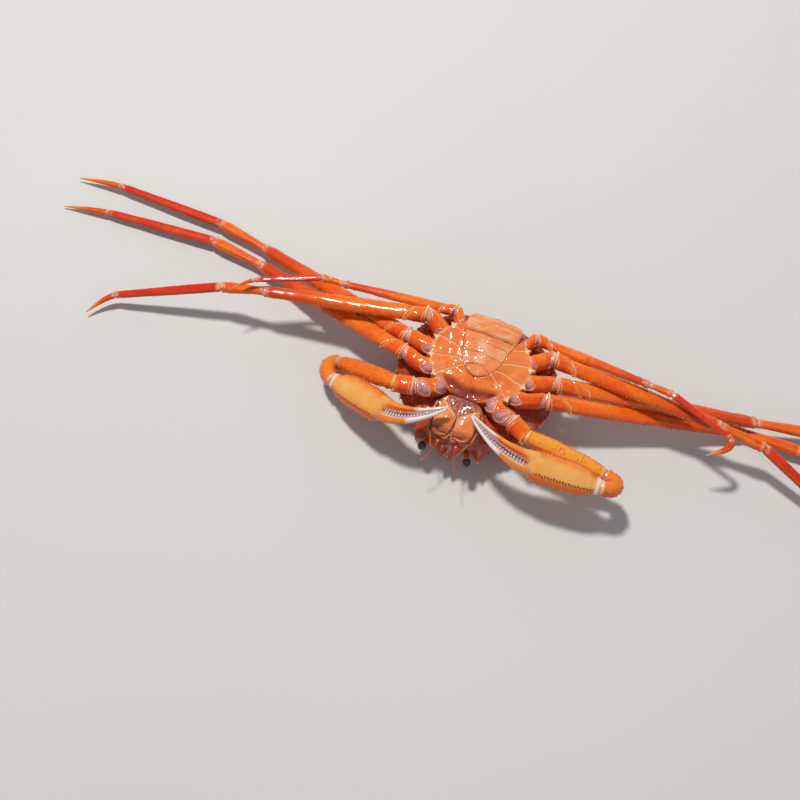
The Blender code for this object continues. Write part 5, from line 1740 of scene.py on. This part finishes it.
    def dactyl(self, joints: list, runs: list, planes: list, width: float) -> None:
        """The last segment, curved and grooved, with a horny yellow point.

        Args:
            joints: the leg's joint points.
            runs: the directions of its segments.
            planes: the directions square to its joints.
            width: width of the leg.
        """
        first = planes[-1]
        start = joints[-2] + first * GAP / 2
        length = LEG_LENGTHS[self.leg][-1]
        bend = unit(runs[-1] - 0.35 * first)
        t = np.linspace(0, 1, 24)
        profile = np.array(PROFILES["dactyl"])
        size = through(profile[:, 0], profile[:, 1:] * width / 2, t)
        if (self.side, self.leg) in CURLED_TIPS:
            size = size * (1 + 0.85 * bump(t - 0.5, 0.42))[:, None]
        controls = bent(start, first * length * 0.4, joints[-1], bend * length * 0.35, t, size)
        s = sweep(controls, 110, 44, (End.HEAD, End.POINT), 2.1)
        groove = np.cos(s.angle * 6)
        waves = 0.12 * groove * ramp(0.9, 0.5, s.share) + 0.06 * self.noise(s, 2.0)
        s.relief(waves * ramp(1.0, 0.7, s.share)
                 + 0.25 * bump(s.low - 1.6, 1.2))
        # Deep red on the side facing the floor is partly the darker dorsal colour and partly painted shade;
        # dark in the grooves' troughs is painted shade.
        s.mark("lower", 0.7 * ramp(0.3, -0.8, s.upper))
        s.mark("tip", ramp(0.35, 0.85, s.share))
        s.mark("pale", most(0.35 * ramp(3.0, 0.6, s.low), 0.5 * ramp(0.93, 1.0, s.share)))
        s.mark("dark", 0.2 * ramp(0.2, -0.8, groove) * ramp(0.8, 0.4, s.share))
        skin = self.shell(s, "dactyl")
        skin.build("limb_deep_orange", f"{self.name}_dactyl")
        self.joint(joints[-2], runs[-2], first, size[0, 0], size[0, 1])


@dataclass
class ClawLimb(Limb):
    """One claw limb: base, merus, carpus, palm and two fingers."""

    def build(self) -> None:
        """Make the five pieces and the joint skins."""
        half = GAP / 2
        root, normal = bay(self.side, 0)
        joints = [root]
        for length, turn, lift in CLAW_POSE[self.side]:
            joints.append(joints[-1] + length * outward(self.side, turn, lift))
        runs = [unit(b - a) for a, b in zip(joints[:-1], joints[1:])]
        elbow = unit(runs[1] + runs[2])
        self.build_base(root, normal, [joints[1], joints[2] - elbow * half], elbow, CLAW_BASE_WIDTH, 0.0,
                        (6.4, 1.0))
        controls = straight(joints[2] + elbow * half, joints[3] - runs[2] * half, PROFILES["claw_merus"],
                            CLAW_WIDTH,
                            elbow, runs[2])
        self.merus(controls)
        self.joint(joints[2], runs[1], runs[2], controls[0, 6] * 0.98, controls[0, 7] * 0.98)
        start, along, hinge, face = self.hand_axes()
        self.carpus(joints[3] + runs[2] * half, runs[2], start - along * half, along)
        self.joint(joints[3], runs[2], runs[2], 4.3, 3.9)
        self.joint(start, along, along, 4.9, 3.9)
        self.hand(start, along, hinge, face)
        self.skins.build("joint_skin")

    def hand_axes(self) -> tuple[Array, Array, Array, Array]:
        """Where the hand starts and how it lies.

        Returns:
            Its start, its length direction, the hinge-side direction and the face direction.
        """
        start, turn, lift = HAND_POSE[self.side]
        along = outward(self.side, turn, lift)
        across = unit(np.cross(along, UP))
        if across[1] > 0:
            across = -across
        up = unit(np.cross(across, along))
        if up[2] < 0:
            up = -up
        roll = math.radians(PALM_ROLL)
        return (np.array(start), along, across * math.cos(roll) - up * math.sin(roll),
                up * math.cos(roll) + across * math.sin(roll))

    def merus(self, controls: Array) -> None:
        """The claw's merus with its granular, toothed margins.

        Args:
            controls: its control rings.
        """
        s = sweep(controls, 140, 84, (End.HEAD, End.SOCKET), 2.3)
        edge = np.abs(s.front) ** 5
        grain = self.grains(s, 2.8, 2, 0.44)
        fine = self.grains(s, 1.2, 3, 0.44)
        s.relief(0.25 * self.noise(s, 6.0) + (0.36 + 0.25 * edge) * grain + 0.16 * fine
                 + 0.4 * bump(s.low - 1.4, 1.1) + 0.4 * bump(s.high - 1.6, 1.2))
        # Deep red on the side facing the floor is partly the darker dorsal colour and partly painted shade;
        # on the left claw the red far half and the weaker yellow are painted shadow.
        gold, red = CLAW_MERUS_GOLD_AND_SHADE[self.side]
        s.mark("lower", most(ramp(0.2, -0.6, s.upper), 0.4 * edge, red * ramp(0.3, 0.55, s.share)))
        s.mark("yellow", most(0.55 * ramp(5, 0.5, s.low), gold * ramp(-0.2, 0.9, s.upper) * (1 - edge)
                              * (1 - 0.75 * grain)))
        s.mark("pale", most(0.4 * bump(s.low - 0.8, 0.7), 0.6 * bump(s.high - 0.8, 0.9)))
        s.mark("grain", 0.75 * grain * (0.6 + 0.4 * edge) + 0.25 * fine)
        s.mark("spot", 0.7 * ramp(0.7, 1.0, self.grains(s, 3.4, 6, 0.18)))
        skin = self.shell(s, "merus")
        skin.add_rows(s, [(angle, 20, 0.08, 0.95, size, 0.75 * min(size, 1.0))
                          for angle, size in CLAW_MERUS_ROWS],
                      self.seed + 20)
        skin.build("limb_orange", f"{self.name}_merus")

    def carpus(self, start: Array, first: Array, end: Array, last: Array) -> None:
        """The bent wrist with its rough outer side.

        Args:
            start: its near end.
            first: direction there.
            end: its far end.
            last: direction there.
        """
        t = np.linspace(0, 1, 18)
        table = np.array(CARPUS_SIZES)
        size = through(table[:, 0], table[:, 1:], t)
        s = sweep(bent(start, first * CARPUS_HANDLE, end, last * CARPUS_HANDLE, t, size), 90, 72,
                  (End.HEAD, End.SOCKET), 2.2)
        grain = self.grains(s, 2.4, 30, 0.46)
        s.relief(0.12 * self.noise(s, 5.0) + 0.35 * grain + 0.35 * bump(s.high - 1.4, 1.0))
        # Deep red on the side facing the floor is partly the darker dorsal colour and partly painted shade.
        s.mark("lower", ramp(0.2, -0.7, s.upper))
        s.mark("grain", 0.6 * grain)
        s.mark("pale", 0.6 * most(bump(s.low - 0.8, 1.0), bump(s.high - 0.8, 1.0)))
        s.mark("tip", 0.9 * ramp(-0.4, 0.5, s.upper))
        s.mark("yellow", 0.4 * ramp(0.2, 1.0, s.upper))
        skin = self.shell(s, "carpus")
        skin.add_rows(s,
                      [(angle, 8, 0.12, 0.92, 1.05, 0.8) for angle in (0.0, 0.7, math.pi, 2.5, -0.6, -2.5)],
                      self.seed + 31)
        skin.build("limb_red", f"{self.name}_carpus")

    def hand(self, start: Array, along: Array, hinge: Array, face: Array) -> None:
        """The palm with its fixed finger, and the loose finger.

        Args:
            start: near end of the palm.
            along: its length direction.
            hinge: the way to the loose finger's side.
            face: the way its upper face looks.
        """
        half = GAP / 2
        rows = [[*(start + along * (half + PALM_LENGTH * t) + hinge * shift), *along, PALM_WIDTH * w,
                 PALM_THICKNESS * k]
                for t, w, k, shift in PALM_SIZES]
        s = sweep(np.array(rows), 140, 112, (End.HEAD, End.ROUND), 2.25, across=hinge)
        grain = self.grains(s, 2.6, 40, 0.4)
        fine = self.grains(s, 1.3, 41, 0.42)
        ridge = DOT_RIDGES[self.side]
        turned = np.abs(turned_from(s.angle, 0.0))
        # The flank below the dotted ridge carries painted shade.
        flank = ramp(ridge + 0.10, ridge - 0.16, turned) * ramp(-0.2, 0.3, s.upper)
        dots = self.dot_row(s, ridge, 2.1)
        upper_dots = self.dot_row(s, 2.62, 2.6)
        edge = np.abs(s.front) ** 8
        s.relief(0.14 * self.noise(s, 10.0) + 0.05 * fine + 0.28 * edge * grain + 0.4 * dots
                 + 0.3 * upper_dots
                 + 0.5 * bump(s.low - 1.6, 1.4) - 0.5 * bump(s.low - 5.0, 1.8))
        side = np.abs(s.front)
        # Deep red on the side facing the floor is partly the darker dorsal colour and partly painted shade.
        s.mark("lower", most(0.9 * ramp(0.15, -0.5, s.upper), 0.7 * ramp(0.35, 0.9, side)))
        s.mark("spot", most(dots, 0.7 * upper_dots))
        s.mark("pale", 0.95 * ramp(4.4, 1.6, s.low))
        s.mark("tip", 0.7 * bump(s.angle, 0.4) + 0.6 * ramp(0.4, 0.9, edge) * ramp(0.0, 0.2, s.share))
        # Painted shade on the flank below the dotted ridge, deeper on the left claw.
        s.mark("tip", PALM_FLANK_SHADE[self.side] * flank * (0.85 + 0.3 * self.noise(s, 5.0, 46)))
        s.mark("yellow", 0.85 * ramp(0.3, 0.9, s.upper) * ramp(0.85, 0.2, side) * (1 - 0.9 * flank)
               * (0.8 + 0.4 * self.noise(s, 6.0, 45)))
        s.mark("mauve", 0.9 * ramp(1.2, -1.0, s.high) * ramp(0.2, 0.8, s.front))
        skin = self.shell(s, "palm")
        skin.add_rows(s, PALM_ROWS, self.seed + 50)
        end = start + along * (half + PALM_LENGTH)
        axes = np.array([along, hinge, face])
        fixed = self.finger(end, axes, -1, skin)
        skin.add_surface(fixed)
        skin.build("palm_yellow", f"{self.name}_hand")
        loose_skin = Skin(f"{self.name}_finger_shell")
        loose = self.finger(end, axes, 1, loose_skin)
        loose_skin.add_surface(loose)
        loose_skin.build("finger_pale", f"{self.name}_finger")
        self.cuff(end + hinge * 5.2 - along * 0.3, along, 4.4, 4.3, 4.0)

    def dot_row(self, s: Surface, angle: float, spacing: float) -> Array:
        """Small round dots along one line of the palm.

        Args:
            s: the palm.
            angle: where round the palm the line runs.
            spacing: how far apart the dots are.

        Returns:
            Amounts from 0 to 1.
        """
        across = turned_from(s.angle, angle) * PALM_WIDTH * 0.36
        place = s.low / spacing
        along = (place - np.round(place)) * spacing
        away = np.hypot(across + 0.25 * np.sin(np.round(place) * 2.4), along)
        return ramp(0.9, 0.45, away) * ramp(0.05, 0.12, s.share) * ramp(0.97, 0.9, s.share)

    def finger(self, origin: Array, axes: Array, sign: int, skin: Skin) -> Surface:
        """One finger on a quadratic curve from its root to the shared tip, with its row of teeth.

        Args:
            origin: middle of the palm's far end.
            axes: length, hinge and face directions.
            sign: 1 for the loose finger, -1 for the fixed one.
            skin: the piece its teeth join.

        Returns:
            The finger's surface, not yet added.
        """
        tip = np.array(FINGER_TIPS[self.side]) + np.array([0.0, 0.7 * sign, 0.0])
        a, b, c = (origin + np.array(p) @ axes for p in (*FINGER_BENDS[sign], tip))
        t = np.linspace(0, 1, 26)[:, None]
        points = a * (1 - t) ** 2 + 2 * b * t * (1 - t) + c * t ** 2
        slopes = unit((b - a) * (1 - t) + (c - b) * t)
        table = np.array(FINGER_SIZES)
        swell = 1 - 0.14 * bump(t - 0.5, 0.4) + 0.35 * ramp(0.72, 1.0, t)
        size = through(table[:, 0], table[:, 1:], t[:, 0]) * swell
        controls = np.column_stack([points, slopes, size])
        extra = 0.0
        if sign < 0:
            stem = np.array(FINGER_STEM)
            spots = origin + np.column_stack([stem[:, :2], np.zeros(4)]) @ axes
            stem = np.column_stack([spots, np.repeat(axes[:1], 4, axis=0), stem[:, 2:]])
            controls = np.vstack([stem, controls[4:]])
            extra = -FINGER_STEM[0][0]
        s = sweep(controls, 165, 64, (End.HEAD, End.POINT), 2.2, across=-sign * axes[1])
        own = np.clip((s.low - extra) / (s.low + s.high - extra), 0, 1)
        ridge = bump(np.abs(s.angle) - 2.4, 0.35)
        hollow = bump(s.angle - 1.0, 0.4) + bump(s.angle + 1.0, 0.4)
        wrap = np.abs(s.angle)
        beads = 0.5 + 0.5 * sign * np.cos((own - 0.1) * 2 * math.pi * FINGER_BEADS)
        cushion = bump(s.angle, 0.55) * ramp(0.03, 0.2, own) * ramp(1.0, 0.86, own)
        s.relief(-0.45 * hollow * ramp(1.0, 0.7, own) * ramp(0.0, 0.1, own) + 0.08 * self.noise(s, 3.0, 60)
                 + 0.35 * ridge * ramp(0.05, 0.3, own) * ramp(1.0, 0.8, own) + cushion * (1.0 + 0.35 * beads))
        edge = 0.50 if sign < 0 else 0.38
        white = ramp(edge, edge + 0.14, own + 0.05 * self.noise(s, 3.0, 61))
        reach = 1.32 if sign > 0 else 0.85 + 0.45 * ramp(0.45, 0.65, own)
        lilac = ramp(reach, reach - 0.25, wrap) * ramp(1.0, 0.9, own) * ramp(0.02, 0.1, own)
        if sign < 0:
            s.mark("pale", most(white * 0.97, 0.35 * lilac * beads))
            s.mark("tip", 0.9 * (1 - white) * ramp(1.75, 1.35, wrap) * ramp(0.02, 0.12, own))
            # Deep red on the side facing the floor is partly the finger's darker colour and partly painted
            # shade.
            s.mark("lower", 0.8 * (1 - white) * ramp(0.1, -0.7, s.upper))
            s.mark("yellow", 0.62 * ramp(0.3, 0.9, s.upper) * ramp(26.0, 9.0, s.low))
            s.mark("tip", 0.3 * ramp(0.1, 0.7, -s.front) * ramp(22.0, 9.0, s.low))
        else:
            s.mark("tip", 0.97 * (1 - white) * most(ramp(1.1, 1.5, wrap), ramp(0.13, 0.06, own)))
            # The grain colour here paints the red side facing the floor, partly the finger's own colour and
            # partly painted shade.
            s.mark("grain", 0.8 * (1 - white) * ramp(0.1, -0.6, s.upper))
            s.mark("pale", most(0.9 * white, 0.35 * lilac * beads))
        s.mark("mauve", 0.95 * lilac * (1 - 0.3 * beads))
        # Dark in the gaps between the teeth and between the beads is painted shade.
        holes = ramp(0.5, 0.12, beads) * ramp(0.8, 0.4, wrap) * ramp(0.62, 0.4, own)
        s.mark("dark", most(0.95 * holes, 0.4 * lilac * ramp(0.3, 0.0, beads)) * ramp(0.99, 0.9, own)
               * ramp(0.0, 0.05, own))
        random = np.random.default_rng(self.seed + 70)
        at = 0.1 + np.arange(FINGER_TEETH) / FINGER_BEADS
        rows = np.clip(np.searchsorted(own[:, 0], at), 1, len(s.ahead) - 3)
        final = s.final()
        grow = (1.15 - 0.6 * at) * random.uniform(0.75, 1.2, FINGER_TEETH)
        for column in (5, -6):
            skin.add_spines(final[rows, column], s.out[rows, column], 0.6 * grow, 0.8 * grow, {"pale": 0.8},
                            0.45)
        return s


# The studio.
@dataclass
class Studio:
    """Plain pale floor, soft lamps and the camera at the picture's angle."""

    field_of_view: float = 42.0
    place: tuple[float, float, float] = (76.1, -329.6, 709.8)
    aim: tuple[float, float, float] = (-0.1605, 0.3837, -0.9094)
    floor_reach: float = 6.0

    def build(self) -> None:
        """Set up the camera, the floor, the lamps and the sky."""
        lens = bpy.data.cameras.new("camera")
        lens.sensor_width = 36.0
        lens.lens = 18.0 / math.tan(math.radians(self.field_of_view / 2))
        lens.clip_start, lens.clip_end = 0.01, 20.0
        camera = bpy.data.objects.new("camera", lens)
        self.aim_at(camera, Vector(self.place) * MM, Vector(self.aim))
        bpy.context.scene.camera = camera
        self.floor()
        for lamp in Light:
            self.lamp(lamp)
        world = bpy.data.worlds.new("sky")
        world.use_nodes = True
        sky = world.node_tree.nodes["Background"]
        sky.inputs["Color"].default_value = (0.86, 0.90, 0.95, 1.0)
        sky.inputs["Strength"].default_value = 0.25
        bpy.context.scene.world = world
        bpy.context.scene.view_settings.view_transform = "Standard"

    def floor(self) -> None:
        """A wide matt floor at z = 0."""
        mesh = bpy.data.meshes.new("floor")
        reach = self.floor_reach
        mesh.from_pydata([(-reach, -reach, 0), (reach, -reach, 0), (reach, reach, 0), (-reach, reach, 0)],
                         [], [(0, 1, 2, 3)])
        graph = Graph("floor")
        graph.shader("Base Color",
                     graph.blend((0.66, 0.66, 0.65), (0.70, 0.70, 0.69), graph.noise(3.0, 2.0, 0.5)))
        graph.shader("Roughness", 0.75)
        mesh.materials.append(graph.material)
        item = bpy.data.objects.new("floor", mesh)
        bpy.context.scene.collection.objects.link(item)

    def lamp(self, kind: Light) -> None:
        """One square lamp that faces the crab.

        Args:
            kind: which lamp.
        """
        place, width, power, colour = kind.value
        data = bpy.data.lights.new(kind.name.lower(), "AREA")
        data.size, data.energy, data.color = width, power, colour
        item = bpy.data.objects.new(kind.name.lower(), data)
        self.aim_at(item, Vector(place), Vector((0.0, 0.0, 0.03)) - Vector(place))

    def aim_at(self, item: bpy.types.Object, place: Vector, way: Vector) -> None:
        """Add a camera or lamp to the scene, turned to look along a direction.

        Args:
            item: the camera or lamp.
            place: where it stands, in metres.
            way: the way it looks.
        """
        item.location = place
        item.rotation_mode = "QUATERNION"
        item.rotation_quaternion = way.to_track_quat("-Z", "Y")
        bpy.context.scene.collection.objects.link(item)


def main() -> None:
    """Build the studio and every part of the crab in order."""
    logging.basicConfig(level=logging.INFO, format="%(name)s %(message)s")
    MATERIALS.update({finish.name: finish.material() for finish in FINISHES})
    Studio().build()
    Carapace().build()
    ChestPlate().build()
    Abdomen().build()
    Mouth().build()
    for k, side in enumerate(SIDES):
        ClawLimb(side, f"claw_{side}", 100 + 500 * k).build()
        for leg in LEG_LENGTHS:
            WalkingLeg(side, f"leg_{leg}_{side}", 200 + 500 * k + 60 * leg, leg=leg).build()
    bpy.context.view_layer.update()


if __name__ == "__main__":
    main()
